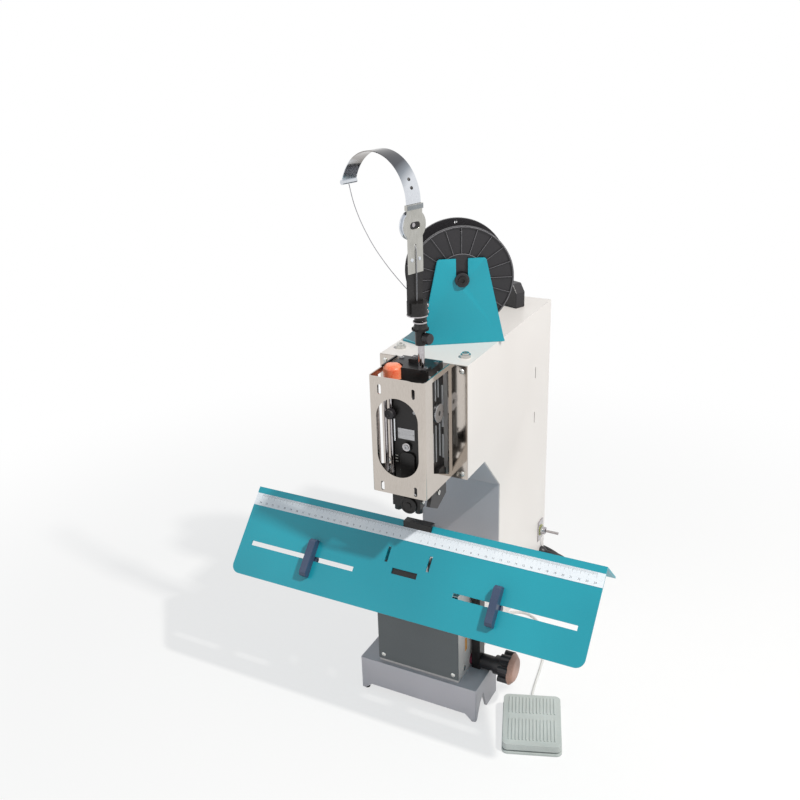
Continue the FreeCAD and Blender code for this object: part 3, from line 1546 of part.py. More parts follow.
roof_block = new_body()
ridge_height = size.block_height
pad(roof_block, "xz", (-size.block_width, 0), [
    (0, 0), (size.block_length, 0), (size.block_length, size.block_shoulder),
    (size.block_ridge_far, ridge_height), (size.block_ridge_near, ridge_height), (0, size.block_shoulder)])
node("roof_block", place(roof_block, (size.block_x, size.block_y, roof), (0, 0, 1), size.block_turn))

switch_at = (switch_y, size.switch_z)
plate_end = half + size.switch_plate
bush_end = plate_end + size.switch_bush_length
switch_plate = block((half, plate_end), (switch_y - size.switch_width / 2, switch_y + size.switch_width / 2),
                     (size.switch_z - size.switch_height / 2, size.switch_z + size.switch_height / 2))
switch_bush = rod("x", switch_at, (half - wall, bush_end), size.switch_bush)
switch_well = rod("x", switch_at, (half, bush_end), size.switch_bore)
node("switch_body", cut(fuse(switch_plate, switch_bush), switch_well))
toggle_low = half + size.running_gap
node("toggle_lever", rod("x", switch_at, (toggle_low, bush_end + size.toggle_length),
                         size.toggle_root_radius, size.toggle_radius))

gland_at = (mains_gland_y, size.mains_gland_z)
gland_end = half + size.mains_gland_length
mains_gland = fuse(
    rod("x", gland_at, (half - wall, half), size.mains_cord_radius),
    rod("x", gland_at, (half, half + size.mains_gland_length / 2), size.mains_gland_radius),
    rod("x", gland_at, (half + size.mains_gland_length / 2, gland_end),
        size.mains_gland_radius, size.mains_cord_radius + 1))
pedal_gland_at = (size.pedal_gland_x, size.pedal_gland_y)
pedal_gland_low = plinth_top - size.pedal_gland_length
pedal_gland = fuse(
    rod("z", pedal_gland_at, (plinth_top, plinth_top + wall), size.pedal_cord_radius),
    rod("z", pedal_gland_at, (pedal_gland_low, plinth_top), size.pedal_gland_radius))
node("cord_glands", group(mains_gland, pedal_gland))


# Foot pedal: a base and a ribbed treadle hinged at the rear

def at_pedal(item):
    return place(item, (size.pedal_x, size.pedal_y, 0), (0, 0, 1), size.pedal_turn)


def place_on_pedal(width, reach, height):
    turn = size.pedal_turn
    return (size.pedal_x + width * cosine(turn) - reach * sine(turn),
            size.pedal_y + width * sine(turn) + reach * cosine(turn), height)


pedal_half = size.pedal_width / 2
toe = -size.pedal_depth / 2
heel = size.pedal_depth / 2
hinge_front = heel - size.pedal_hinge_depth
pedal_base = new_body()
pad(pedal_base, "yz", mirrored_pair(pedal_half), [
    (toe, 0), (heel, 0), (heel, size.pedal_hinge_rise), (hinge_front, size.pedal_hinge_rise),
    (hinge_front, size.pedal_base_rear), (toe, size.pedal_base_front)])
round_edges(pedal_base, "z", size.pedal_corner, lambda centre: near(abs(centre.y), heel))
node("pedal_base", at_pedal(pedal_base))
lip = size.pedal_lip
treadle = new_body()
hinge_top = size.pedal_hinge_rise + size.running_gap
step = hinge_front - size.running_gap
pad(treadle, "yz", mirrored_pair(pedal_half - lip), [
    (toe + lip, size.pedal_base_front + size.pedal_gap_front), (step, size.pedal_base_rear + size.pedal_gap_front),
    (step, hinge_top), (heel - lip, hinge_top), (heel - lip, size.pedal_rear), (toe + lip, size.pedal_front)])
round_edges(treadle, "z", size.pedal_corner - lip, lambda centre: not near(centre.y, step))
slope = (size.pedal_rear - size.pedal_front) / (size.pedal_depth - 2 * lip)
rib_run = pedal_half - size.pedal_rib_inset
ribs_made = [treadle]
zones = ((toe + size.pedal_rib_front, toe + size.pedal_rib_middle),
         (toe + size.pedal_rib_middle + size.pedal_rib_split, toe + size.pedal_rib_rear))
for zone in zones:
    for index in range(SIZES["pedal_ribs"]):
        x = -rib_run + (2 * rib_run - size.pedal_rib_width) * (index / (SIZES["pedal_ribs"] - 1))
        heights = [size.pedal_front + slope * (y - toe - lip) for y in zone]
        rib = new_body()
        pad(rib, "yz", (x, x + size.pedal_rib_width), [
            (zone[0], heights[0] - 1), (zone[1], heights[1] - 1),
            (zone[1], heights[1] + size.pedal_rib_rise), (zone[0], heights[0] + size.pedal_rib_rise)])
        ribs_made.append(rib)
node("pedal_treadle", at_pedal(fuse(*ribs_made)))


# Cords: each leaves its gland, lies on the floor and has its spare length coiled in two layers

side_gap = 0.4  # air between neighbouring turns, beside a quarter of the cord's width
layer_gap = 0.6  # air between the two layers of a coil
lead_radii = 8  # the straight run that joins a cord to its coil, in radii of the cord
heading_step = 0.01  # radians on each side of a knot, to find which way the coil runs there


def coil_edges(centre, mid_radius, turns, radius, entry_turn):
    # Loops spiral in along the floor, climb in half a turn and spiral out on top.
    pitch = 2.5 * radius + side_gap
    layer = 2 * radius + layer_gap
    outer = mid_radius + pitch * turns / 2
    inner_radius = outer - pitch * turns
    spiral = 2 * math.pi * turns

    def position(angle):
        if angle < spiral:
            reach, height = outer - pitch * angle / (2 * math.pi), radius
        elif angle < spiral + math.pi:
            reach = inner_radius
            height = radius + layer * (1 - math.cos(angle - spiral)) / 2
        else:
            reach = inner_radius + pitch * (angle - spiral - math.pi) / (2 * math.pi)
            height = radius + layer
        heading = entry_turn + angle
        return centre + Vector(reach * math.cos(heading), reach * math.sin(heading), height)

    knots = []
    for quarter in range(int(8 * turns + 2) + 1):
        angle = quarter * math.pi / 2
        heading = position(angle + heading_step) - position(max(0, angle - heading_step))
        knots.append((position(angle), heading.normalize()))
    first, last = knots[0], knots[-1]
    entry = first[0] - first[1] * 2 * radius
    leaving = last[0] + last[1] * 2 * radius
    edges = [Part.LineSegment(entry, first[0]).toShape()] + biarc_edges(knots)
    edges.append(Part.LineSegment(last[0], leaving).toShape())
    return edges, (entry, first[1]), (leaving, last[1])


def lay_cord(name, radius, before, after, coil_centre, coil_radius, turns):
    # The run to the coil, the coil and the run on from it, meeting face to face.
    centre = numbers((*coil_centre, 0))
    edges, entry, leaving = coil_edges(centre, coil_radius.value, turns, radius.value, math.pi / 2)
    print_least_gap(edges, radius.value, f"{name} coil")
    add_shape(f"{name}_coil", tube_shape(edges, radius.value, f"{name} coil"))
    run = lead_radii * radius.value
    lead = cord_route(before + [entry[0] - entry[1] * run, entry[0]], radius.value, f"{name} cord")
    tail = cord_route([leaving[0], leaving[0] + leaving[1] * run] + after, radius.value, f"{name} cord tail")
    add_shape(f"{name}_cord", Part.makeCompound([lead, tail]))


mains_start = numbers((gland_end, *gland_at))
plug_face = numbers((size.plug_front, size.plug_y, size.plug_height / 2))
floor_level = SIZES["mains_cord_radius"]
lay_cord("mains", size.mains_cord_radius,
         [mains_start, Vector(84, 286, 83), Vector(98, 289, 77), Vector(106.5, 297, 63), Vector(109, 308, 44),
          Vector(107, 324, 25), Vector(101, 345, 10.5), Vector(90, 368, floor_level),
          Vector(70, 393, floor_level), Vector(42, 415, floor_level), Vector(4, 429.5, floor_level)],
         [Vector(-21, 326.5, 12.9), plug_face],
         (size.mains_coil_x, size.mains_coil_y), size.mains_coil_radius, SIZES["mains_coil_turns"])
pedal_start = numbers(place_on_pedal(0, heel, size.pedal_exit_height))
floor_level = SIZES["pedal_cord_radius"]
pedal_gland_face = numbers((*pedal_gland_at, pedal_gland_low))
lay_cord("pedal", size.pedal_cord_radius,
         [pedal_start, Vector(140.8, 33.9, 5), Vector(136.2, 50, 2.6), Vector(132.5, 71, floor_level),
          Vector(128.5, 100, floor_level), Vector(122, 139, floor_level), Vector(110, 176, floor_level),
          Vector(88, 211, floor_level), Vector(64, 226, floor_level), Vector(42, 221, floor_level),
          Vector(27, 202, floor_level), Vector(16, 177, floor_level), Vector(3, 157, floor_level)],
         [Vector(1, 90.5, 9), Vector(14, 85.5, 14.5), Vector(24, 78.5, 22), Vector(29, 73, 29),
          Vector(30, 70, 37), pedal_gland_face],
         (size.pedal_coil_x, size.pedal_coil_y), size.pedal_coil_radius, SIZES["pedal_coil_turns"])

plug_end = size.plug_front + size.plug_length
plug_body = block((size.plug_front, plug_end),
                  (size.plug_y - size.plug_width / 2, size.plug_y + size.plug_width / 2), (0, size.plug_height))
pins = [rod("x", (size.plug_y + side * size.plug_pin_spread, size.plug_height / 2),
            (plug_end, plug_end + size.plug_pin_length), size.plug_pin_radius) for side in (1, -1)]
node("mains_plug", fuse(plug_body, *pins))


# Check and write

document.recompute()
for item in document.Objects:
    if "Invalid" in item.State or "Error" in item.State:
        raise ValueError(f"{item.Label} ({item.Name}) failed: {item.State}")
os.makedirs("parts", exist_ok=True)
for item in nodes:
    shape = item.Shape
    if shape.isNull() or not shape.isValid() or not shape.Solids:
        raise ValueError(f"{item.Label} has no valid shape")
    shape.exportStep(f"parts/{item.Label}.step")
print(f"{len(nodes)} pieces written")
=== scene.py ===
import bpy
import bmesh
import json
import math
from mathutils import Matrix, Vector


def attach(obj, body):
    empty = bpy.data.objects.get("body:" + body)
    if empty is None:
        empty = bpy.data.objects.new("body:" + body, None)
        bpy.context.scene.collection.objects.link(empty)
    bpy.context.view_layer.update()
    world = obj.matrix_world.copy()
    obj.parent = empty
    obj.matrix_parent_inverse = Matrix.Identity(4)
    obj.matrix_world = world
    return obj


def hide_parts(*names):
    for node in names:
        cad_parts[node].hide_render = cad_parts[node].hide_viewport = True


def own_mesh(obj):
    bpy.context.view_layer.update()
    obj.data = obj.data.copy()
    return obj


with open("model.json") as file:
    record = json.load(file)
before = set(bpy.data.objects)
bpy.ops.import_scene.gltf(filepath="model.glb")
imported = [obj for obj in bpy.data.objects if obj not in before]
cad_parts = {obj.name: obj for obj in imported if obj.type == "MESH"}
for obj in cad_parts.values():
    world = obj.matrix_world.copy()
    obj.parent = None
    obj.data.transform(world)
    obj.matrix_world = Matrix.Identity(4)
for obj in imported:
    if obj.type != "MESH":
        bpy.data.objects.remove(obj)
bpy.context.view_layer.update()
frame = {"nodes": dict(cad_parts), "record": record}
nodes = frame["nodes"]
scene = bpy.context.scene
mm = 0.001  # the maker's sizes below are in millimetres
print("Frame loaded with", len(nodes), "nodes")


# Placing: the table leans, the arm, spool and pedal are turned, each about its own point
def placeAt(origin, turn=0.0, lean=0.0):
    spin = Matrix.Rotation(math.radians(turn), 4, "Z") @ Matrix.Rotation(math.radians(lean), 4, "X")
    return Matrix.Translation(Vector(origin) * mm) @ spin


bodyPlace = {
    "table": placeAt((0, -21.6, 279.2), lean=47.3),
    "arm": placeAt((12.3, -30, 0), turn=72),
    "spool": placeAt((-18, 47.8, 0), turn=32.4),
    "pedal": placeAt((161, -21, 0), turn=20.2),
    "machine": Matrix.Identity(4),
}


# Materials
def screenColour(red, green, blue):
    return tuple(((value / 255 + 0.055) / 1.055) ** 2.4 for value in (red, green, blue)) + (1.0,)


def setInput(tree, socket, value):
    if isinstance(value, bpy.types.NodeSocket):
        tree.links.new(value, socket)
    else:
        socket.default_value = value


def addNode(tree, kind, settings=None, **inputs):
    # A node with its settings, and its inputs by label, with _ for a space
    item = tree.nodes.new(kind)
    for key, value in (settings or {}).items():
        setattr(item, key, value)
    for key, value in inputs.items():
        setInput(tree, item.inputs[key.replace("_", " ")], value)
    return item


def reckon(tree, operation, first, second):
    # One arithmetic node over two values or sockets
    item = addNode(tree, "ShaderNodeMath", {"operation": operation})
    setInput(tree, item.inputs[0], first)
    setInput(tree, item.inputs[1], second)
    return item.outputs[0]


noiseRange = {"colour": (0.35, 0.65), "gloss": (0.3, 0.7)}  # the noise values that reach each end
glossSpread = 0.15


def makeFinish(name, dark, light, roughness, metallic=0.0, grain=300.0, stretch=(1, 1, 1),
               bump=0.02, blotch=12.0, blotchShare=0.5, sockets=None):
    # Fine grain drives bump and roughness, slow blotches drive the colour between two screen colours
    material = bpy.data.materials.new(name)
    material.use_nodes = True
    tree = material.node_tree
    shader = tree.nodes["Principled BSDF"]
    shader.inputs["Metallic"].default_value = metallic
    for key, value in (sockets or {}).items():
        shader.inputs[key].default_value = value
    coords = addNode(tree, "ShaderNodeTexCoord")
    stretched = addNode(tree, "ShaderNodeMapping", Vector=coords.outputs["Object"], Scale=stretch)
    fine = addNode(tree, "ShaderNodeTexNoise", Vector=stretched.outputs["Vector"], Scale=grain, Detail=3.0)
    slow = addNode(tree, "ShaderNodeTexNoise", Vector=coords.outputs["Object"], Scale=blotch, Detail=2.0)
    both = addNode(tree, "ShaderNodeMix", {"data_type": "FLOAT"}, Factor=blotchShare)
    tree.links.new(fine.outputs["Fac"], both.inputs[2])
    tree.links.new(slow.outputs["Fac"], both.inputs[3])
    ramp = addNode(tree, "ShaderNodeValToRGB", Fac=both.outputs[0])
    for element, position, colour in zip(ramp.color_ramp.elements, noiseRange["colour"], (dark, light)):
        element.position = position
        element.color = screenColour(*colour)
    tree.links.new(ramp.outputs["Color"], shader.inputs["Base Color"])
    least, most = noiseRange["gloss"]
    gloss = addNode(tree, "ShaderNodeMapRange", Value=fine.outputs["Fac"], From_Min=least, From_Max=most,
                    To_Min=roughness * (1 - glossSpread), To_Max=min(1.0, roughness * (1 + glossSpread)))
    tree.links.new(gloss.outputs["Result"], shader.inputs["Roughness"])
    relief = addNode(tree, "ShaderNodeBump", Height=fine.outputs["Fac"], Strength=1.0, Distance=bump * mm)
    tree.links.new(relief.outputs["Normal"], shader.inputs["Normal"])
    return material


sheenCoat = {"Coat Weight": 0.12, "Coat Roughness": 0.15}
upright = (6, 6, 0.25)  # brushed along Z
crosswise = (0.25, 6, 6)  # brushed along X
finishes = {
    "painted_teal": makeFinish("tealPaint", (8, 142, 160), (20, 158, 176), 0.38,
                               grain=900, bump=0.01, blotch=5, blotchShare=0.8, sockets=sheenCoat),
    "painted_white": makeFinish("whitePaint", (216, 211, 208), (226, 222, 219), 0.42,
                                grain=900, bump=0.012, blotch=4, blotchShare=0.8, sockets=sheenCoat),
    # Grey paint of the plinth; the throat panel takes it too, where its grey is painted shade of the white cabinet
    # under the head
    "painted_grey": makeFinish("greyPaintAndThroatShade", (188, 186, 192), (206, 202, 208), 0.45,
                               grain=900, bump=0.012, blotch=6, blotchShare=0.8, sockets=sheenCoat),
    "painted_dark": makeFinish("darkPaint", (80, 85, 88), (94, 99, 101), 0.4,
                               grain=700, bump=0.012, blotch=8, blotchShare=0.7, sockets=sheenCoat),
    # Partly painted reflection: brushed stainless tinted warm beige in place of a warm surrounding it reflects
    "stainless": makeFinish("stainlessWarmReflection", (188, 180, 172), (204, 196, 188), 0.1,
                            metallic=1.0, grain=700, stretch=upright, bump=0.0015, blotchShare=0.35,
                            sockets={"Anisotropic": 0.4}),
    "steel": makeFinish("machinedSteel", (150, 150, 153), (186, 186, 188), 0.28,
                        metallic=1.0, grain=420, stretch=crosswise, bump=0.003, blotchShare=0.3),
    "spring_steel": makeFinish("polishedStrip", (204, 208, 214), (228, 231, 236), 0.12,
                               metallic=1.0, grain=500, stretch=(5, 5, 0.4), bump=0.0015, blotchShare=0.4),
    # Painted reflection: the chrome is darkened in place of dark surroundings it would reflect
    "chrome": makeFinish("chromeDarkReflection", (168, 164, 166), (196, 192, 194), 0.08,
                         metallic=1.0, grain=300, bump=0.0008, blotchShare=0.5),
    "black_steel": makeFinish("blackOxide", (22, 21, 22), (42, 40, 40), 0.34,
                              metallic=0.35, grain=500, bump=0.006, blotchShare=0.4),
    "rubber": makeFinish("blackRubber", (20, 20, 20), (34, 34, 34), 0.8,
                         grain=1200, bump=0.02),
    "black_plastic": makeFinish("mouldedBlack", (26, 24, 27), (42, 40, 44), 0.42,
                                grain=1400, bump=0.012, blotchShare=0.4),
    "red_plastic": makeFinish("orangeCap", (238, 98, 60), (252, 172, 130), 0.3,
                              grain=900, bump=0.006, blotch=40, sockets=sheenCoat),
    "grey_plastic": makeFinish("pedalPlastic", (172, 179, 176), (194, 200, 198), 0.5,
                               grain=1300, bump=0.015, blotch=18),
    "stop_plastic": makeFinish("stopPlastic", (44, 62, 90), (62, 76, 104), 0.36,
                               grain=1200, bump=0.008, blotch=30),
    "ruler_white": makeFinish("rulerStrip", (222, 230, 238), (240, 245, 250), 0.3,
                              grain=800, bump=0.003, blotch=15),
    "zinc": makeFinish("zincPlate", (190, 190, 188), (216, 216, 212), 0.22,
                       metallic=1.0, grain=700, bump=0.003),
    "wire_steel": makeFinish("drawnWire", (132, 132, 136), (176, 176, 180), 0.24,
                             metallic=1.0, grain=600, bump=0.002),
    "black_cord": makeFinish("blackSheath", (26, 26, 27), (38, 38, 39), 0.6,
                             grain=1500, bump=0.012),
    "white_cord": makeFinish("whiteSheath", (212, 212, 210), (226, 226, 224), 0.5,
                             grain=1500, bump=0.01),
    "cast": makeFinish("castIron", (78, 80, 84), (104, 106, 110), 0.55,
                       metallic=0.4, grain=650, bump=0.03),
}
bodyOf = {member: body for body, members in frame["record"]["behaviour"]["bodies"].items() for member in members}
slotOf = {row["node"]: row["material_slot"] for row in frame["record"]["subparts"]}
for nodeName, cadObject in nodes.items():
    cadObject.data.materials.clear()
    cadObject.data.materials.append(finishes[slotOf[nodeName]])


def addBands(material, start, end, stops):
    # Tints a finish with colours at places along X, from start to end
    tree = material.node_tree
    shader = tree.nodes["Principled BSDF"]
    coords = addNode(tree, "ShaderNodeTexCoord")
    along = addNode(tree, "ShaderNodeSeparateXYZ", Vector=coords.outputs["Object"])
    share = addNode(tree, "ShaderNodeMapRange", Value=along.outputs["X"], From_Min=start * mm, From_Max=end * mm)
    bands = addNode(tree, "ShaderNodeValToRGB", Fac=share.outputs["Result"])
    for place, colour in stops:
        bands.color_ramp.elements.new((place - start) / (end - start)).color = screenColour(*colour)
    for index in (0, -1):
        bands.color_ramp.elements.remove(bands.color_ramp.elements[index])
    tinted = addNode(tree, "ShaderNodeMix", {"data_type": "RGBA", "blend_type": "MULTIPLY"})
    tinted.inputs[0].default_value = 1.0
    tree.links.new(shader.inputs["Base Color"].links[0].from_socket, tinted.inputs[6])
    tree.links.new(bands.outputs["Color"], tinted.inputs[7])
    tree.links.new(tinted.outputs[2], shader.inputs["Base Color"])


# The link plate is satin, and the bent strip has a painted reflection: darker over its crown, in place of a dark
# reflection
ownFinishes = {
    "link_plate": makeFinish("satinLink", (170, 169, 163), (196, 195, 190), 0.3, metallic=1.0, grain=420,
                             stretch=upright, bump=0.002, blotch=60, blotchShare=0.4),
    "strap": makeFinish("stripPaintedReflection", (204, 208, 214), (228, 231, 236), 0.14, metallic=1.0, grain=500,
                        stretch=(5, 5, 0.4), bump=0.0015, blotchShare=0.4),
}
# Painted reflection: tints along the strip's X that darken its crown and leave its ends untinted
strapReflectionBands = {"start": -95, "end": 15, "stops": [
    (-82, (255, 255, 255)), (-74, (188, 180, 172)), (-47, (184, 176, 168)), (-36, (104, 102, 102)),
    (-9, (112, 112, 115)), (-1, (176, 180, 184)), (6, (255, 255, 255))]}
addBands(ownFinishes["strap"], **strapReflectionBands)
for nodeName, material in ownFinishes.items():
    nodes[nodeName].data.materials[0] = material
print("Finishes set:", len(finishes) + len(ownFinishes))


# Pieces
def newPiece(name, mesh, body, slotName, material=None):
    piece = bpy.data.objects.new(name, mesh)
    scene.collection.objects.link(piece)
    mesh.materials.clear()
    mesh.materials.append(material or finishes[slotName])
    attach(piece, body)
    return piece


def bakedMesh(source):
    # The evaluated shape of an object as a plain mesh; the object is then removed
    bpy.context.view_layer.update()
    mesh = bpy.data.meshes.new_from_object(source.evaluated_get(bpy.context.evaluated_depsgraph_get()))
    bpy.data.objects.remove(source)
    return mesh


weld = 0.002  # points nearer than this are one
crease = {"rolled": 22, "detail": 30, "head": 35, "round": 60}  # degrees from which an edge is shaded sharp
bend = {"flat": 1, "edge": 40, "corner": 60}  # degrees between two faces: one face, an edge to roll, a corner


def shaded(mesh, angle=crease["detail"]):
    # Smooth over its curves and sharp at its corners
    mesh.shade_smooth()
    mesh.set_sharp_from_angle(angle=math.radians(angle))
    return mesh


def softenEdges(nodeName, pieceName, width):
    # A copy of a CAD node with its sharp edges rolled over, as a folded sheet or a moulding has
    mesh = nodes[nodeName].data.copy()
    shape = bmesh.new()
    shape.from_mesh(mesh)
    bmesh.ops.remove_doubles(shape, verts=shape.verts, dist=weld * mm)
    bmesh.ops.dissolve_limit(shape, angle_limit=math.radians(bend["flat"]), verts=shape.verts, edges=shape.edges)
    shape.to_mesh(mesh)
    shape.free()
    working = bpy.data.objects.new(pieceName + "Work", mesh)
    scene.collection.objects.link(working)
    rolled = working.modifiers.new("Rolled", "BEVEL")
    rolled.width = width * mm
    rolled.segments = 2
    rolled.limit_method = "ANGLE"
    rolled.angle_limit = math.radians(bend["edge"])
    rolled.use_clamp_overlap = True
    piece = newPiece(pieceName, shaded(bakedMesh(working), crease["rolled"]), bodyOf[nodeName], slotOf[nodeName])
    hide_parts(nodeName)


softened = {
    "foot_plinths": ("footPlinths", 0.8), "cabinet_shell": ("cabinetShell", 0.8), "back_cover": ("backCover", 0.4),
    "front_panel": ("frontPanel", 0.5), "anvil_post": ("anvilPost", 0.5), "table_ribs": ("tableRibs", 0.4),
    "carriage": ("tableCarriage", 0.6), "stop_right": ("rightStop", 0.7), "stop_left": ("leftStop", 0.7),
    "star_knob": ("starKnob", 1.4), "roof_block": ("roofBlock", 1.2), "spool_bracket": ("spoolBracket", 0.5),
    "pedal_base": ("pedalBase", 1.0), "mains_plug": ("mainsPlug", 1.6), "arm_clamp": ("armClamp", 0.5),
    "clamp_knob": ("armKnob", 0.8), "head_body": ("headBody", 0.5), "lower_jaw": ("lowerJaw", 0.6),
    "supporter": ("supporterLever", 0.5), "clamp_lever": ("clampLever", 0.5), "red_cap": ("orangeCapTop", 1.5),
    "roller": ("tensionRoller", 0.3), "clinch_dies": ("clinchDies", 0.5), "switch_body": ("switchBush", 0.5),
    "cord_glands": ("cordGlands", 0.6), "motor": ("driveMotor", 2.0), "drive_wheel": ("driveWheel", 0.8),
    "spool_axle": ("spoolAxle", 0.6), "face_plate": ("facePlate", 0.15), "former_slide": ("formerSlide", 0.3),
    "driver_slide": ("driverSlide", 0.3), "feed_wheel": ("feedWheel", 0.5), "pedal_treadle": ("pedalTreadle", 0.5),
}
for nodeName, (pieceName, width) in softened.items():
    softenEdges(nodeName, pieceName, width)
print("Edges rolled on", len(softened), "pieces")


# Geometry Nodes
def newTree(name, sizes):
    # An empty tree with its named inputs and their kinds; each run gives them their values
    tree = bpy.data.node_groups.new(name, "GeometryNodeTree")
    for label, kind in {"Geometry": "Geometry", **sizes, "Material": "Material"}.items():
        tree.interface.new_socket(label, in_out="INPUT", socket_type="NodeSocket" + kind)
    tree.interface.new_socket("Geometry", in_out="OUTPUT", socket_type="NodeSocketGeometry")
    return tree, tree.nodes.new("NodeGroupInput"), tree.nodes.new("NodeGroupOutput")


def finishTree(tree, given, result, shape):
    whole = addNode(tree, "GeometryNodeRealizeInstances", Geometry=shape)
    painted = addNode(tree, "GeometryNodeSetMaterial", Geometry=whole.outputs[0], Material=given.outputs["Material"])
    tree.links.new(painted.outputs[0], result.inputs[0])


def runTree(tree, mesh, values):
    # Runs a tree over a mesh and gives the plain mesh it makes
    working = bpy.data.objects.new("treeWork", mesh)
    scene.collection.objects.link(working)
    modifier = working.modifiers.new("Tree", "NODES")
    modifier.node_group = tree
    sockets = {item.name: item.identifier for item in tree.interface.items_tree if item.in_out == "INPUT"}
    for label, value in values.items():
        modifier[sockets[label]] = value
    return bakedMesh(working)


def pointMesh(places, facing):
    # One vertex for each place, with the way it faces
    mesh = bpy.data.meshes.new("places")
    mesh.from_pydata([tuple(Vector(place) * mm) for place in places], [], [])
    way = mesh.attributes.new("facing", "FLOAT_VECTOR", "POINT")
    for index, direction in enumerate(facing):
        way.data[index].vector = direction
    return mesh


recessReach = 1.25  # the cross's length as a share of the head's radius


def makeScrewTree():
    # A domed head with a crossed recess at each point
    tree, given, result = newTree("crossScrews", {
        "Head Radius": "Float", "Head Rise": "Float", "Recess Width": "Float", "Seed": "Int"})
    ball = addNode(tree, "GeometryNodeMeshUVSphere", Segments=32, Rings=24, Radius=1.0)
    dome = addNode(tree, "ShaderNodeCombineXYZ", X=given.outputs["Head Radius"], Y=given.outputs["Head Radius"],
                   Z=given.outputs["Head Rise"])
    squashed = addNode(tree, "GeometryNodeTransform", Geometry=ball.outputs["Mesh"], Scale=dome.outputs[0])
    length = reckon(tree, "MULTIPLY", given.outputs["Head Radius"], recessReach)
    cutSizes = [addNode(tree, "ShaderNodeCombineXYZ", Z=given.outputs["Head Rise"], **{
        longWay: length, shortWay: given.outputs["Recess Width"]}) for longWay, shortWay in ("XY", "YX")]
    lift = addNode(tree, "ShaderNodeCombineXYZ", Z=given.outputs["Head Rise"])
    head = addNode(tree, "GeometryNodeMeshBoolean", {"operation": "DIFFERENCE", "solver": "EXACT"})
    tree.links.new(squashed.outputs[0], head.inputs["Mesh 1"])
    for sizes in cutSizes:
        arm = addNode(tree, "GeometryNodeMeshCube", Size=sizes.outputs[0])
        raised = addNode(tree, "GeometryNodeTransform", Geometry=arm.outputs["Mesh"], Translation=lift.outputs[0])
        tree.links.new(raised.outputs[0], head.inputs["Mesh 2"])
    facing = addNode(tree, "GeometryNodeInputNamedAttribute", {"data_type": "FLOAT_VECTOR"}, Name="facing")
    aimed = addNode(tree, "FunctionNodeAlignRotationToVector", {"axis": "Z"}, Vector=facing.outputs["Attribute"])
    spin = addNode(tree, "FunctionNodeRandomValue", {"data_type": "FLOAT"}, Seed=given.outputs["Seed"])
    spin.inputs[3].default_value = math.pi
    about = addNode(tree, "FunctionNodeAxisAngleToRotation", Angle=spin.outputs[1])
    turned = addNode(tree, "FunctionNodeRotateRotation", {"rotation_space": "LOCAL"},
                     Rotation=aimed.outputs[0], Rotate_By=about.outputs[0])
    heads = addNode(tree, "GeometryNodeInstanceOnPoints", Points=given.outputs["Geometry"],
                    Instance=head.outputs["Mesh"], Rotation=turned.outputs[0])
    finishTree(tree, given, result, heads.outputs[0])
    return tree


screwTree = makeScrewTree()
screws = {
    "panel": {"across": 52.9, "plane": -35.5, "heights": (65.1, 180.5), "facing": (0, -1, 0)},
    "cover": {"across": 52.5, "plane": 301.5, "heights": (60.5, 490.5), "facing": (0, 1, 0)},
    "guard": {"across": 52.6, "plane": -1.5, "heights": (352.3, 490.6), "facing": (0, -1, 0)},
}
screwHead = {"radius": 3.4, "rise": 1.6, "recess": 0.75, "seed": 4}
screwPlaces, screwFacing = [], []
for group in screws.values():
    for x in (-group["across"], group["across"]):
        for height in group["heights"]:
            screwPlaces.append((x, group["plane"], height))
            screwFacing.append(group["facing"])
screwMesh = runTree(screwTree, pointMesh(screwPlaces, screwFacing), {
    "Head Radius": screwHead["radius"] * mm, "Head Rise": screwHead["rise"] * mm,
    "Recess Width": screwHead["recess"] * mm, "Seed": screwHead["seed"], "Material": finishes["zinc"]})
smallScrews = newPiece("smallScrews", shaded(screwMesh, crease["head"]), "frame", "zinc")
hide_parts("small_screws")
print("Screws:", len(screwPlaces))


# Small parts: turned and flat shapes set on the machine's own planes
def aim(origin, way=(0, 0, 1), spin=0.0, place="machine"):
    # A frame whose Z runs along a way, on one of the machine's turned parts
    turn = Vector(way).to_track_quat("Z", "Y").to_matrix().to_4x4()
    here = bodyPlace[place] @ Matrix.Translation(Vector(origin) * mm)
    return here @ turn @ Matrix.Rotation(math.radians(spin), 4, "Z")


def onBody(place, spot, way):
    # A spot and a way on one of the machine's turned parts, as the whole machine has them
    here = bodyPlace[place]
    return here @ (Vector(spot) * mm) / mm, here.to_3x3() @ Vector(way)


def onSpool(y):
    # A spot on the spool's axis, in the spool's frame
    return (45.8, y, 582.3)


clampAxis = (12.3, 63.5)  # y and z of the shaft that clamps the table's carriage
switchAxis = (280, 125)  # y and z of the toggle switch


def addRound(shape, at, profile, steps=40):
    # Spins (radius, height) points about the Z of a frame
    rings = []
    for radius, height in profile:
        spots = [2 * math.pi * index / steps for index in range(steps if radius else 1)]
        rings.append([shape.verts.new(at @ (Vector((radius * math.cos(spot), radius * math.sin(spot), height)) * mm))
                      for spot in spots])
    for low, high in zip(rings, rings[1:]):
        for index in range(steps):
            after = index + 1
            corners = (low[index % len(low)], low[after % len(low)], high[after % len(high)], high[index % len(high)])
            shape.faces.new(list(dict.fromkeys(corners)))


def addPlate(shape, at, outline, low, high):
    # A flat shape from its outline in a frame's XY, between two heights
    under, over = ([shape.verts.new(at @ (Vector((x, y, level)) * mm)) for x, y in outline] for level in (low, high))
    shape.faces.new(under[::-1])
    shape.faces.new(over)
    for index in range(len(outline)):
        after = (index + 1) % len(outline)
        shape.faces.new((under[index], under[after], over[after], over[index]))


def washer(inner, outer, rise, edge=0.3):
    return [(inner, 0), (outer, 0), (outer, rise - edge), (outer - edge, rise), (inner, rise), (inner, 0)]


def stud(radius, rise, edge=0.4, sunk=0.6):
    return [(0, -sunk), (radius, -sunk), (radius, rise - edge), (radius - edge, rise), (0, rise)]


def oblong(reach, radius, steps=10):
    turns = [math.pi * (index / steps - 0.5) for index in range(steps + 1)]
    half = [(reach + radius * math.cos(turn), radius * math.sin(turn)) for turn in turns]
    return half + [(-x, -y) for x, y in half]


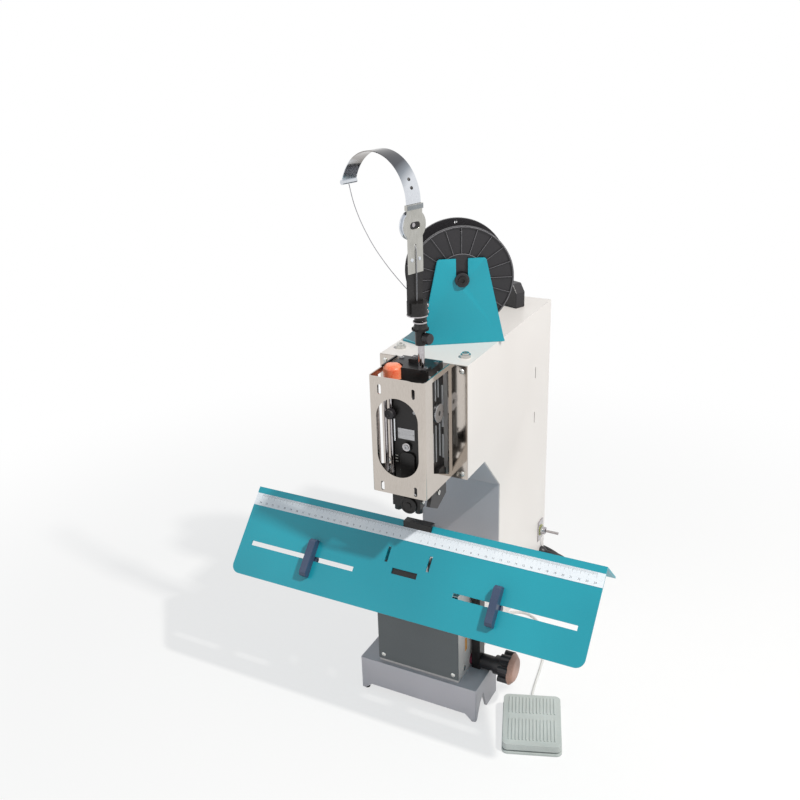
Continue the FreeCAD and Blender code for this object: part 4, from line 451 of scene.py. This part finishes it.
def makeDetail(name, detail):
    # Builds one small piece from its rounds, plates and blocks
    shape = bmesh.new()
    place = detail.get("place", "machine")
    for origin, way, profile in detail.get("rounds", []):
        addRound(shape, aim(origin, way, place=place), profile)
    for origin, way, outline, rise in detail.get("plates", []):
        addPlate(shape, aim(origin, way, place=place), outline, 0, rise)
    for low, high in detail.get("blocks", []):
        base = [(low[0], low[1]), (high[0], low[1]), (high[0], high[1]), (low[0], high[1])]
        addPlate(shape, bodyPlace[place], base, low[2], high[2])
    bmesh.ops.remove_doubles(shape, verts=shape.verts, dist=weld / 2 * mm)
    if detail.get("roll"):
        corners = [edge for edge in shape.edges if edge.calc_face_angle(0) > math.radians(bend["corner"])]
        bmesh.ops.bevel(shape, geom=corners, offset=detail["roll"] * mm, segments=2, affect="EDGES",
                        clamp_overlap=True)
    bmesh.ops.recalc_face_normals(shape, faces=shape.faces)
    mesh = bpy.data.meshes.new(name)
    shape.to_mesh(mesh)
    shape.free()
    return newPiece(name, shaded(mesh), detail["body"], detail["slot"], detail.get("material"))


def makeSpokeTree():
    # Bars set out round a circle, each running outwards
    tree, given, result = newTree("spokes", {
        "Count": "Int", "Inner Radius": "Float", "Outer Radius": "Float", "Bar Width": "Float", "Bar Depth": "Float"})
    inner, outer = given.outputs["Inner Radius"], given.outputs["Outer Radius"]
    middle = reckon(tree, "MULTIPLY", reckon(tree, "ADD", outer, inner), 0.5)
    circle = addNode(tree, "GeometryNodeMeshCircle", Vertices=given.outputs["Count"], Radius=middle)
    index = addNode(tree, "GeometryNodeInputIndex")
    share = reckon(tree, "DIVIDE", index.outputs[0], given.outputs["Count"])
    turn = addNode(tree, "ShaderNodeCombineXYZ", Z=reckon(tree, "MULTIPLY", share, 2 * math.pi))
    size = addNode(tree, "ShaderNodeCombineXYZ", X=reckon(tree, "SUBTRACT", outer, inner),
                   Y=given.outputs["Bar Width"], Z=given.outputs["Bar Depth"])
    bar = addNode(tree, "GeometryNodeMeshCube", Size=size.outputs[0])
    bars = addNode(tree, "GeometryNodeInstanceOnPoints", Points=circle.outputs[0], Instance=bar.outputs["Mesh"],
                   Rotation=turn.outputs[0])
    finishTree(tree, given, result, bars.outputs[0])
    return tree


socketLift = 0.4  # the socket's and the head's rise above their plane, as a share of the head's height


def makeSocketTree():
    # A round head with a six-sided socket at each point, as large as the point says
    tree, given, result = newTree("socketHeads", {"Head Rise": "Float", "Socket Radius": "Float"})
    head = addNode(tree, "GeometryNodeMeshCylinder", Vertices=32, Radius=1 * mm, Depth=given.outputs["Head Rise"])
    socket = addNode(tree, "GeometryNodeMeshCylinder", Vertices=6, Radius=given.outputs["Socket Radius"],
                     Depth=given.outputs["Head Rise"])
    lift = addNode(tree, "ShaderNodeCombineXYZ", Z=reckon(tree, "MULTIPLY", given.outputs["Head Rise"], socketLift))
    raised = addNode(tree, "GeometryNodeTransform", Geometry=socket.outputs["Mesh"], Translation=lift.outputs[0])
    drilled = addNode(tree, "GeometryNodeMeshBoolean", {"operation": "DIFFERENCE", "solver": "EXACT"})
    tree.links.new(head.outputs["Mesh"], drilled.inputs["Mesh 1"])
    tree.links.new(raised.outputs[0], drilled.inputs["Mesh 2"])
    seated = addNode(tree, "GeometryNodeTransform", Geometry=drilled.outputs["Mesh"], Translation=lift.outputs[0])
    facing = addNode(tree, "GeometryNodeInputNamedAttribute", {"data_type": "FLOAT_VECTOR"}, Name="facing")
    radius = addNode(tree, "GeometryNodeInputNamedAttribute", {"data_type": "FLOAT"}, Name="size")
    aimed = addNode(tree, "FunctionNodeAlignRotationToVector", {"axis": "Z"}, Vector=facing.outputs["Attribute"])
    heads = addNode(tree, "GeometryNodeInstanceOnPoints", Points=given.outputs["Geometry"],
                    Instance=seated.outputs[0], Rotation=aimed.outputs[0])
    tree.links.new(radius.outputs["Attribute"], heads.inputs["Scale"])
    finishTree(tree, given, result, heads.outputs[0])
    return tree


def makeHoodTree():
    # Pressed hoods in a row, one over each louvre
    tree, given, result = newTree("louvreHoods", {
        "Count": "Int", "Pitch": "Float", "Half Width": "Float", "Half Height": "Float", "Rise": "Float"})
    pitch = addNode(tree, "ShaderNodeCombineXYZ", Z=given.outputs["Pitch"])
    line = addNode(tree, "GeometryNodeMeshLine", Count=given.outputs["Count"], Offset=pitch.outputs[0])
    ball = addNode(tree, "GeometryNodeMeshUVSphere", Segments=32, Rings=16, Radius=1.0)
    size = addNode(tree, "ShaderNodeCombineXYZ", X=given.outputs["Half Width"], Y=given.outputs["Rise"],
                   Z=given.outputs["Half Height"])
    hoods = addNode(tree, "GeometryNodeInstanceOnPoints", Points=line.outputs[0], Instance=ball.outputs["Mesh"],
                    Scale=size.outputs[0])
    finishTree(tree, given, result, hoods.outputs[0])
    return tree


spokeTree = makeSpokeTree()
# Painted highlight: pale grey lines on the spool's black ribs and rims, in place of light caught on their edges
ribHighlight = makeFinish("ribHighlight", (92, 90, 95), (132, 130, 134), 0.4, grain=900, bump=0.004)
spokeRings = {
    "spoolRibHighlights": {"body": "spool_body", "slot": "black_plastic", "material": ribHighlight, "count": 20, "inner": 32.5,
                      "outer": 64, "width": 0.45, "depth": 0.5,
                      "at": aim(onSpool(4.6), (0, -1, 0), spin=-0.5, place="spool")},
    "spoolRearRibs": {"body": "spool_body", "slot": "black_plastic", "count": 20, "inner": 25.5, "outer": 64,
                      "width": 0.45, "depth": 0.5,
                      "at": aim(onSpool(57.4), (0, 1, 0), spin=0.5, place="spool")},
    "armKnobKnurl": {"body": "arm_knob", "slot": "black_plastic", "count": 22, "inner": 6.0, "outer": 6.75,
                     "width": 0.8, "depth": 6.6, "at": aim((0.8, -11, 538), (0, -1, 0), place="arm")},
    "thumbKnobKnurl": {"body": "frame", "slot": "black_plastic", "count": 22, "inner": 6.0, "outer": 6.7,
                       "width": 0.8, "depth": 5.6, "at": aim((-18.6, -55.4, 444), (0, -1, 0))},
    "motorFins": {"body": "frame", "slot": "cast", "count": 30, "inner": 41.5, "outer": 43.6, "width": 1.8,
                  "depth": 78, "at": aim((0, 212, 160), (0, 1, 0))},
    "rodClampSerration": {"body": "frame", "slot": "black_steel", "count": 36, "inner": 9.4, "outer": 10.3,
                          "width": 0.7, "depth": 2.2, "at": aim((0, 0, 548.4), place="arm")},
}
for ringName, ring in spokeRings.items():
    bars = runTree(spokeTree, bpy.data.meshes.new("none"), {
        "Count": ring["count"], "Inner Radius": ring["inner"] * mm, "Outer Radius": ring["outer"] * mm,
        "Bar Width": ring["width"] * mm, "Bar Depth": ring["depth"] * mm,
        "Material": ring.get("material") or finishes[ring["slot"]]})
    bars.transform(ring["at"])
    newPiece(ringName, bars, ring["body"], ring["slot"], ring.get("material"))
print("Ribs and knurls:", len(spokeRings))

socketTree = makeSocketTree()
socketHeads = {
    "roofSockets": {"body": "frame", "slot": "zinc", "heads": [
        ((x, 27.7, 501.9), (0, 0, 1), 4.6) for x in (-45, 45)]},
    "headSockets": {"body": "frame", "slot": "steel", "heads": [
        ((-3, -14, 504.9), (0, 0, 1), 3.0), ((22.6, -38, 502.9), (0, 0, 1), 2.6),
        ((22, -8, 499.9), (0, 0, 1), 3.0), ((-24, -10, 499.9), (0, 0, 1), 3.0),
        ((12.2, -50, 448.4), (0, -1, 0), 2.0), ((1.4, -53, 402), (0, -1, 0), 3.3),
        ((-9.5, -46, 334), (0, -1, 0), 2.6), ((7.5, -46, 334), (0, -1, 0), 2.6), ((27, -44, 484), (1, 0, 0), 2.4),
        ((27, -44, 392), (1, 0, 0), 2.4), ((-33.5, -12, 470), (-1, 0, 0), 2.4)]},
    "armSockets": {"body": "frame", "slot": "chrome", "heads": [
        (*onBody("arm", (4.04, -9.5, z), (0.643, -0.766, 0)), 2.2) for z in (570.6, 578)]},
    "supporterSocket": {"body": "supporter_body", "slot": "zinc", "heads": [
        ((32.2, -29.4, 335.1), (1, 0, 0), 3.2)]},
    "axleSocket": {"body": "frame", "slot": "black_steel", "heads": [
        (*onBody("spool", onSpool(-3.2), (0, -1, 0)), 5.4)]},
}
socketSizes = {"rise": 0.55, "socket": 0.55}
for setName, group in socketHeads.items():
    mesh = pointMesh([head[0] for head in group["heads"]], [head[1] for head in group["heads"]])
    sizes = mesh.attributes.new("size", "FLOAT", "POINT")
    for index, head in enumerate(group["heads"]):
        sizes.data[index].value = head[2]
    heads = runTree(socketTree, mesh, {
        "Head Rise": socketSizes["rise"] * mm, "Socket Radius": socketSizes["socket"] * mm,
        "Material": finishes[group["slot"]]})
    newPiece(setName, shaded(heads, crease["head"]), group["body"], group["slot"])
print("Socket heads:", sum(len(group["heads"]) for group in socketHeads.values()))

louvreHoods = {"first": 330, "pitch": 14, "count": 7, "halfWidth": 37.0, "halfHeight": 3.0,
               "rise": 2.6, "plane": 301.4, "above": 3.0}
hoodMesh = runTree(makeHoodTree(), bpy.data.meshes.new("none"), {
    "Count": louvreHoods["count"], "Pitch": louvreHoods["pitch"] * mm, "Half Width": louvreHoods["halfWidth"] * mm,
    "Half Height": louvreHoods["halfHeight"] * mm, "Rise": louvreHoods["rise"] * mm,
    "Material": finishes[slotOf["back_cover"]]})
hoodMesh.transform(aim((0, louvreHoods["plane"], louvreHoods["first"] + louvreHoods["above"])))
newPiece("louvreHoods", shaded(hoodMesh, crease["round"]), "frame", slotOf["back_cover"])

paleEdge = makeFinish("groundEdge", (186, 188, 192), (214, 216, 218), 0.35, metallic=0.3,
                      grain=600, bump=0.002)
# Painted shade: a dark finish for a strip over the band at the link's top, where a groove's shade falls
bandShadeFinish = makeFinish("bandPaintedShade", (112, 118, 122), (142, 146, 150), 0.35, metallic=0.5,
                      grain=600, bump=0.002)
brownCap = makeFinish("brownCap", (160, 118, 102), (190, 150, 134), 0.4, grain=900, bump=0.006,
                      blotch=50)
labelPaper = makeFinish("labelPaper", (196, 194, 186), (214, 212, 204), 0.6, grain=1200, bump=0.004)
orangePaper = makeFinish("orangePaper", (214, 140, 60), (228, 160, 76), 0.6, grain=1200, bump=0.004)
plumCollar = makeFinish("plumCollar", (104, 26, 54), (128, 38, 68), 0.4, grain=900, bump=0.006)
# Painted reflection: the switch's washer is tinted yellow-green in place of green surroundings it would reflect
washerGreenReflection = makeFinish("washerPaintedReflection", (150, 156, 96), (186, 184, 128), 0.3, metallic=0.8,
                         grain=700, bump=0.003)
nutRadius = 7.4
hexagon = [(nutRadius * math.cos(math.radians(turn)), nutRadius * math.sin(math.radians(turn)))
           for turn in range(0, 360, 60)]
strapBend = {"centre": (53.5, 696.8), "outside": 55.0, "middle": -7.5}


def onStrap(degrees):
    # A place and its outward way on the bent strip, both in the arm's frame
    side, rise = -math.cos(math.radians(degrees)), math.sin(math.radians(degrees))
    centre, reach = strapBend["centre"], strapBend["outside"]
    return (strapBend["middle"], centre[0] + reach * side, centre[1] + reach * rise), (0, side, rise)


details = {
    "headRails": {"body": "frame", "slot": "steel", "material": paleEdge, "roll": 0.2, "blocks": [
        ((26.8, -39.6, 370), (29, -38.6, 494)), ((26.8, -24.4, 374), (28.4, -23.6, 424)),
        ((26.8, -24.4, 456), (28.4, -23.6, 490)), ((26.8, -16.4, 458), (28.2, -15.6, 492)),
        ((26.8, -5.2, 372), (29, -4.2, 404)), ((26.8, -5.2, 414), (29, -4.2, 470)),
        ((26.8, -32.4, 376), (28.2, -31.6, 416)), ((26.8, -13.4, 378), (28.2, -12.6, 422))]},
    "headPlates": {"body": "frame", "slot": "black_steel", "roll": 0.5, "blocks": [
        ((-9, -22, 499.5), (3, -6, 505)), ((19, -46, 499.5), (26, -30, 503)), ((-34.6, -20, 372), (-33.2, -5, 462)),
        ((-33.4, -46, 499.5), (-30.6, -8, 502))]},
    "thumbKnob": {"body": "frame", "slot": "black_plastic", "rounds": [
        ((-18.6, -50, 444), (0, -1, 0), [(0, -0.5), (3, -0.5), (3, 1.6), (5.6, 1.6), (6.3, 2.4), (6.3, 8.4),
                                         (5.5, 9.4), (2.2, 9.4), (1.8, 8.8), (0, 8.8)])]},
    "lockPin": {"body": "frame", "slot": "spring_steel", "rounds": [
        ((-15, -51.1, 407), (0, 0, 1), [(0, 0), (0.9, 0), (1.3, 0.5), (1.3, 29.5), (0.9, 30), (0, 30)])]},
    "leverRing": {"body": "frame", "slot": "chrome", "rounds": [
        ((1.4, -52.9, 402), (0, -1, 0), washer(3.6, 5.4, 1.1))]},
    "indexMarks": {"body": "frame", "slot": "ruler_white", "material": labelPaper, "blocks": [
        ((-15.6, -50.2, z), (-12, -49.9, z + 0.8)) for z in (378.6, 382.6, 386.6)] + [
        ((-9.4, -50.2, 367.1), (-5.2, -49.9, 368))]},
    "plateRivets": {"body": "frame", "slot": "steel", "rounds": [
        ((x, -50.6, 418), (0, -1, 0), [(0, -0.3), (1, -0.3), (1, 0.1), (0.6, 0.5), (0, 0.6)]) for x in (-9.3, 9.9)]},
    "jawWheel": {"body": "frame", "slot": "black_steel", "rounds": [
        ((-1.2, -45.8, 317.8), (0, -1, 0), [(0, 0), (10.8, 0), (11.4, 0.5), (11.4, 2.2), (10.8, 2.8), (8.6, 2.8),
                                            (8.2, 2.2), (4.4, 2.2), (4, 3.2), (0, 3.4)])]},
    "jawTip": {"body": "frame", "slot": "zinc", "rounds": [
        ((-19, -40, 307.5), (0, 0, -1), [(0, 0), (2.2, 0), (2.2, 2.4), (1.4, 3.2), (0, 3.3)]),
        ((15, -40, 323), (1, 0, 0), stud(2.9, 2.2))]},
    "starKnobCap": {"body": "clamp_knob_body", "slot": "black_plastic", "material": brownCap, "rounds": [
        ((119, *clampAxis), (1, 0, 0),
         [(0, -0.6), (21.6, -0.6), (21.6, 0.4), (20.9, 1.4), (16.6, 5.2), (15.4, 5.7), (10, 5.9), (0, 6.1)])]},
    "shaftCollar": {"body": "frame", "slot": "black_steel", "material": plumCollar, "rounds": [
        ((60, *clampAxis), (1, 0, 0), washer(7.05, 8.9, 2.6, 0.5))]},
    "blankLabel": {"body": "frame", "slot": "ruler_white", "material": orangePaper, "blocks": [
        ((59.9, -11.5, 90), (60.3, -5.5, 110))]},
    # Painted shade: a dark oblong laid in the link head's pocket, where shade falls
    "linkPocketShade": {"body": "frame", "slot": "black_steel", "place": "arm", "plates": [
        ((-7.5, -2.25, 672.7), (0, -1, 0), oblong(3.6, 3.9), 0.2)]},
    "linkPin": {"body": "frame", "slot": "chrome", "place": "arm", "rounds": [
        ((-9.6, -2.4, 673.6), (0, -1, 0), [(0, 0), (2.5, 0), (2.5, 0.5), (1.9, 0.9), (0, 1.0)])]},
    # Painted shade: dark strip at the band's groove
    "linkBandShade": {"body": "frame", "slot": "steel", "material": bandShadeFinish, "place": "arm", "roll": 0.05, "blocks": [
        ((-20, -4.2, 691), (5, -3.9, 696.1))]},
    "linkRivets": {"body": "frame", "slot": "spring_steel", "place": "arm", "rounds": [
        ((x, -2.9, 634), (0, -1, 0), [(0, 0), (2.4, 0), (2.1, 0.7), (1.3, 1.2), (0, 1.4)]) for x in (-13.5, -1.5)]},
    "spoolHubDisc": {"body": "spool_body", "slot": "black_plastic", "place": "spool", "rounds": [
        (onSpool(4.75), (0, -1, 0), washer(9.8, 31.4, 0.7))]},
    # Painted highlight: pale rings at the spool's hub and rim
    "spoolHubHighlights": {"body": "spool_body", "slot": "black_plastic", "material": ribHighlight, "place": "spool", "rounds": [
        (onSpool(4.75), (0, -1, 0), washer(31.3, 32.1, 0.9, 0.2)),
        (onSpool(4.75), (0, -1, 0), washer(65.3, 66.1, 0.3, 0.1))]},
    "strapRivets": {"body": "strap_body", "slot": "black_steel", "place": "arm", "rounds": [
        (*onStrap(degrees), [(0, -0.6), (2, -0.6), (2, 0.3), (1.4, 0.7), (0, 0.8)]) for degrees in (18.4, 28.7)]},
    "armRings": {"body": "frame", "slot": "chrome", "place": "arm", "rounds": [
        ((0, 0, 556.4), (0, 0, 1), washer(7.3, 8.7, 1.8)), ((-4, 0, 566.2), (0, 0, 1), washer(12.3, 13.1, 1.3))]},
    "collarSleeve": {"body": "frame", "slot": "black_steel", "place": "arm", "rounds": [
        ((0, 0, 528.8), (0, 0, 1), washer(6.1, 6.45, 18.1, 0.1))]},
    "switchWasher": {"body": "frame", "slot": "zinc", "material": washerGreenReflection, "rounds": [
        ((61.9, *switchAxis), (1, 0, 0), washer(5.9, 9.2, 0.9))]},
    "switchNut": {"body": "frame", "slot": "zinc", "roll": 0.3, "plates": [
        ((62.9, *switchAxis), (1, 0, 0), hexagon, 2.8)]},
}
for detailName, detail in details.items():
    makeDetail(detailName, detail)
print("Small parts:", len(details))


# Ruler marks: one tree makes the millimetre lines, longer at each five and ten, to both sides of the middle
rulerMarks = {"near": 9.0, "width": 17.2, "top": 0.5, "inset": 0.3, "count": 241, "ink": 0.2, "print": 0.015,
              "short": 3.0, "middle": 4.4, "long": 6.2, "digit": 3.6, "digitGap": 3.0, "last": 24}
inkFinish = makeFinish("printedInk", (34, 40, 60), (54, 60, 80), 0.5, grain=900, bump=0.001)


def makeTickTree():
    tree, given, result = newTree("rulerTicks", {
        "Count": "Int", "Pitch": "Float", "Line Width": "Float",
        "Short": "Float", "Middle": "Float", "Long": "Float"})
    pitch = addNode(tree, "ShaderNodeCombineXYZ", X=given.outputs["Pitch"])
    line = addNode(tree, "GeometryNodeMeshLine", Count=given.outputs["Count"], Offset=pitch.outputs[0])
    index = addNode(tree, "GeometryNodeInputIndex")
    nearNought = 0.5  # a remainder below this is none
    length = given.outputs["Short"]
    for step, label in ((5, "Middle"), (10, "Long")):
        isStep = addNode(tree, "FunctionNodeCompare", {"data_type": "FLOAT", "operation": "LESS_THAN"})
        tree.links.new(reckon(tree, "MODULO", index.outputs[0], step), isStep.inputs[0])
        isStep.inputs[1].default_value = nearNought
        chosen = addNode(tree, "GeometryNodeSwitch", {"input_type": "FLOAT"}, Switch=isStep.outputs[0])
        tree.links.new(length, chosen.inputs["False"])
        tree.links.new(given.outputs[label], chosen.inputs["True"])
        length = chosen.outputs[0]
    inward = addNode(tree, "ShaderNodeCombineXYZ", Y=reckon(tree, "MULTIPLY", length, -0.5))
    moved = addNode(tree, "GeometryNodeSetPosition", Geometry=line.outputs[0], Offset=inward.outputs[0])
    scale = addNode(tree, "ShaderNodeCombineXYZ", X=given.outputs["Line Width"], Y=length,
                    Z=2 * rulerMarks["print"] * mm)
    mark = addNode(tree, "GeometryNodeMeshCube", Size=(1, 1, 1))
    marks = addNode(tree, "GeometryNodeInstanceOnPoints", Points=moved.outputs[0], Instance=mark.outputs["Mesh"],
                    Scale=scale.outputs[0])
    finishTree(tree, given, result, marks.outputs[0])
    return tree


def onRuler(x, y):
    return bodyPlace["table"] @ Matrix.Translation(Vector((x, y, rulerMarks["top"])) * mm)


tickTree = makeTickTree()
rulerParts = bmesh.new()
for side in (1, -1):
    ticks = runTree(tickTree, bpy.data.meshes.new("none"), {
        "Count": rulerMarks["count"], "Pitch": side * mm, "Line Width": rulerMarks["ink"] * mm,
        "Short": rulerMarks["short"] * mm, "Middle": rulerMarks["middle"] * mm, "Long": rulerMarks["long"] * mm,
        "Material": inkFinish})
    ticks.transform(onRuler(0, -rulerMarks["near"] - rulerMarks["inset"]))
    rulerParts.from_mesh(ticks)
centimetre = 10
digitsLow = -rulerMarks["near"] - rulerMarks["width"] + rulerMarks["digitGap"]
for side in (1, -1):
    for number in range(1, rulerMarks["last"] + 1):
        digits = bpy.data.curves.new("digits", "FONT")
        digits.body = str(number)
        digits.size = rulerMarks["digit"] * mm
        digits.align_x = "CENTER"
        digits.extrude = rulerMarks["print"] * mm
        writing = bpy.data.objects.new("digitsWork", digits)
        scene.collection.objects.link(writing)
        letterMesh = bakedMesh(writing)
        letterMesh.transform(onRuler(side * number * centimetre, digitsLow))
        rulerParts.from_mesh(letterMesh)
rulerMesh = bpy.data.meshes.new("rulerNumbers")
rulerParts.to_mesh(rulerMesh)
rulerParts.free()
newPiece("rulerPrint", rulerMesh, "table", "ruler_white", inkFinish)
print("Ruler printed")


# Cords: NURBS lines through the routes that the solids follow
coilGaps = {"pitch": 2.5, "side": 0.4, "layer": 0.6}  # pitch in radii of the cord, the gaps in millimetres


def layCord(name, points, radius, slotName):
    curve = bpy.data.curves.new(name, "CURVE")
    curve.dimensions = "3D"
    line = curve.splines.new("NURBS")
    line.points.add(len(points) - 1)
    for spot, place in zip(line.points, points):
        spot.co = [value * mm for value in place] + [1]
    line.order_u = 3
    line.use_endpoint_u = True
    line.resolution_u = 8
    curve.bevel_depth = radius * mm
    curve.bevel_resolution = 5
    curve.use_fill_caps = True
    cord = bpy.data.objects.new(name, curve)
    scene.collection.objects.link(cord)
    curve.materials.append(finishes[slotName])
    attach(cord, "frame")
    return cord


def coilPoints(centre, midRadius, turns, radius, perTurn=16):
    # Loops spiral in along the floor, climb in half a turn and spiral out on top
    pitch = coilGaps["pitch"] * radius + coilGaps["side"]
    layer = 2 * radius + coilGaps["layer"]
    outer = midRadius + pitch * turns / 2
    inner = outer - pitch * turns
    spiral = 2 * math.pi * turns
    step = 2 * math.pi / perTurn
    spread = 2 / (1 + math.cos(step / 2))  # the line cuts inside its points by this much
    points = []
    for index in range(1, round((2 * spiral + math.pi) / step)):
        angle = index * step
        if angle < spiral:
            reach, height = outer - pitch * angle / (2 * math.pi), radius
        elif angle < spiral + math.pi:
            reach, height = inner, radius + layer * (1 - math.cos(angle - spiral)) / 2
        else:
            reach, height = inner + pitch * (angle - spiral - math.pi) / (2 * math.pi), radius + layer
        heading, reach = math.pi / 2 + angle, reach * spread
        points.append((centre[0] + reach * math.cos(heading), centre[1] + reach * math.sin(heading), height))
    return points


mainsLead = {
    "radius": 3.5, "coil": (-75, 380), "coilRadius": 38.5, "turns": 3, "length": 1.93,
    "before": [(70, 286, 83), (84, 286, 83), (98, 289, 77), (106.5, 297, 63), (109, 308, 44), (107, 324, 25),
               (101, 345, 10.5), (90, 368, 3.5), (70, 393, 3.5), (42, 415, 3.5), (4, 429.5, 3.5), (-40, 433.4, 3.5),
               (-68, 432.5, 3.5)],
    "after": [(-68, 327.6, 11.1), (-40, 326.8, 11.1), (-21, 326.5, 12.9), (0, 326.5, 13)],
}
pedalLead = {
    "radius": 2.0, "coil": (-34, 120), "coilRadius": 22, "turns": 2, "length": 1.06,
    "before": [(144.9, 22.6, 5), (140.8, 33.9, 5), (136.2, 50, 2.6), (132.5, 71, 2), (128.5, 100, 2), (122, 139, 2),
               (110, 176, 2), (88, 211, 2), (64, 226, 2), (42, 221, 2), (27, 202, 2), (16, 177, 2), (3, 157, 2),
               (-14, 148.1, 2), (-30, 147.5, 2)],
    "after": [(-30, 92.5, 6.6), (-14, 92, 6.6), (1, 90.5, 9), (14, 85.5, 14.5), (24, 78.5, 22), (29, 73, 29),
              (30, 70, 37), (30, 70, 44)],
}


def wholeRoute(lead):
    loops = coilPoints(lead["coil"], lead["coilRadius"], lead["turns"], lead["radius"])
    return lead["before"] + loops + lead["after"]


mainsCord = layCord("mainsCord", wholeRoute(mainsLead), mainsLead["radius"], "black_cord")
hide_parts("mains_cord", "mains_coil")
pedalCord = layCord("pedalCord", wholeRoute(pedalLead), pedalLead["radius"], "white_cord")
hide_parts("pedal_cord", "pedal_coil")
print("Cords laid")

# The wire from the spool, as a welded copy on the frame; the anchor and share by which it would shorten towards the
# spool when the bent strip flexes down are listed, but nothing here reads them
looseWire = {"node": "wire_to_spool", "anchor": 581.1, "keep": 0.8815}
wireShape = bmesh.new()
wireShape.from_mesh(nodes[looseWire["node"]].data)
bmesh.ops.remove_doubles(wireShape, verts=wireShape.verts, dist=weld * mm)
wireMesh = bpy.data.meshes.new("spoolWire")
wireShape.to_mesh(wireMesh)
wireShape.free()
spoolWire = newPiece("spoolWire", shaded(wireMesh, crease["round"]), "frame", "wire_steel")
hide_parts(looseWire["node"])
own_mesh(spoolWire)


# Stage: floor, world, lamps and the camera where the photograph was taken
stageSizes = {"floor": 8.0, "pale": 0.9, "worldFill": 0.4, "skyTint": (0.9, 0.96, 1.0, 1), "backdrop": 1.0,
              "nearGlow": 0.68, "fadeFrom": 0.45, "fadeTo": 1.3}
floorMesh = bpy.data.meshes.new("floor")
half = stageSizes["floor"] / 2
floorMesh.from_pydata([(x * half, y * half, 0) for x, y in ((-1, -1), (1, -1), (1, 1), (-1, 1))], [], [(0, 1, 2, 3)])
floor = bpy.data.objects.new("studioFloor", floorMesh)
scene.collection.objects.link(floor)


def seenRays(tree):
    # One for what the camera sees, straight or in a reflection, and nought for light that falls on things
    rays = addNode(tree, "ShaderNodeLightPath")
    seen = rays.outputs["Is Camera Ray"]
    for label in ("Is Glossy Ray", "Is Transmission Ray"):
        seen = reckon(tree, "MAXIMUM", seen, rays.outputs[label])
    return seen


def makeFloor():
    # Pale floor that melts into the white backdrop away from the machine
    material = bpy.data.materials.new("paleFloor")
    material.use_nodes = True
    tree = material.node_tree
    shader = tree.nodes["Principled BSDF"]
    shader.inputs["Base Color"].default_value = (stageSizes["pale"],) * 3 + (1,)
    shader.inputs["Roughness"].default_value = 0.9
    shader.inputs["Specular IOR Level"].default_value = 0.1
    glow = addNode(tree, "ShaderNodeEmission", Color=(1, 1, 1, 1), Strength=stageSizes["backdrop"])
    coords = addNode(tree, "ShaderNodeTexCoord")
    away = addNode(tree, "ShaderNodeVectorMath", {"operation": "LENGTH"}, Vector=coords.outputs["Object"])
    fade = addNode(tree, "ShaderNodeMapRange", {"interpolation_type": "SMOOTHSTEP"}, Value=away.outputs["Value"],
                   From_Min=stageSizes["fadeFrom"], From_Max=stageSizes["fadeTo"], To_Min=stageSizes["nearGlow"])
    share = reckon(tree, "MULTIPLY", fade.outputs["Result"], seenRays(tree))
    both = addNode(tree, "ShaderNodeMixShader", Fac=share)
    tree.links.new(shader.outputs[0], both.inputs[1])
    tree.links.new(glow.outputs[0], both.inputs[2])
    tree.links.new(both.outputs[0], tree.nodes["Material Output"].inputs["Surface"])
    return material


floorMesh.materials.append(makeFloor())

world = bpy.data.worlds.new("studioWorld")
scene.world = world
world.use_nodes = True
sky = world.node_tree
seen = seenRays(sky)
strength = addNode(sky, "ShaderNodeMapRange", Value=seen, To_Min=stageSizes["worldFill"],
                   To_Max=stageSizes["backdrop"])
tint = addNode(sky, "ShaderNodeMix", {"data_type": "RGBA"})
sky.links.new(seen, tint.inputs[0])
tint.inputs[6].default_value = stageSizes["skyTint"]
tint.inputs[7].default_value = (1, 1, 1, 1)
sky.links.new(tint.outputs[2], sky.nodes["Background"].inputs["Color"])
sky.links.new(strength.outputs["Result"], sky.nodes["Background"].inputs["Strength"])

lamps = {
    "keyLamp": {"at": (1.44, -0.25, 2.2), "size": 0.1, "power": 50.0, "colour": (1.0, 0.97, 0.92)},
    "fillLamp": {"at": (-1.0, -1.7, 1.0), "size": 1.4, "power": 4.0, "colour": (1.0, 1.0, 1.0)},
}
lampTarget = Vector((0, 0, 0.3))
for lampName, lamp in lamps.items():
    light = bpy.data.lights.new(lampName, "AREA")
    light.size = lamp["size"]
    light.energy = lamp["power"]
    light.color = lamp["colour"]
    holder = bpy.data.objects.new(lampName, light)
    holder.location = lamp["at"]
    holder.rotation_euler = (lampTarget - Vector(lamp["at"])).to_track_quat("-Z", "Y").to_euler()
    scene.collection.objects.link(holder)

viewpoint = {"at": (501.01, -1000.37, 907.1), "azimuth": 28.13, "elevation": 22.45, "roll": -1.805,
             "lens": 43.54, "sensor": 36, "far": 50}
azimuth, elevation, roll = (math.radians(viewpoint[key]) for key in ("azimuth", "elevation", "roll"))
flat = math.cos(elevation)
back = Vector((math.sin(azimuth) * flat, -math.cos(azimuth) * flat, math.sin(elevation)))
right = Vector((math.cos(azimuth), math.sin(azimuth), 0))
up = back.cross(right)
tiltedRight = right * math.cos(roll) + up * math.sin(roll)
tiltedUp = up * math.cos(roll) - right * math.sin(roll)
cameraData = bpy.data.cameras.new("photoCamera")
cameraData.lens = viewpoint["lens"]
cameraData.sensor_width = viewpoint["sensor"]
cameraData.clip_end = viewpoint["far"]
camera = bpy.data.objects.new("photoCamera", cameraData)
cameraTurn = Matrix((tiltedRight, tiltedUp, back)).transposed().to_4x4()
camera.matrix_world = Matrix.Translation(Vector(viewpoint["at"]) * mm) @ cameraTurn
scene.collection.objects.link(camera)
scene.camera = camera
scene.view_settings.view_transform = "Standard"
print("Stage and camera set")
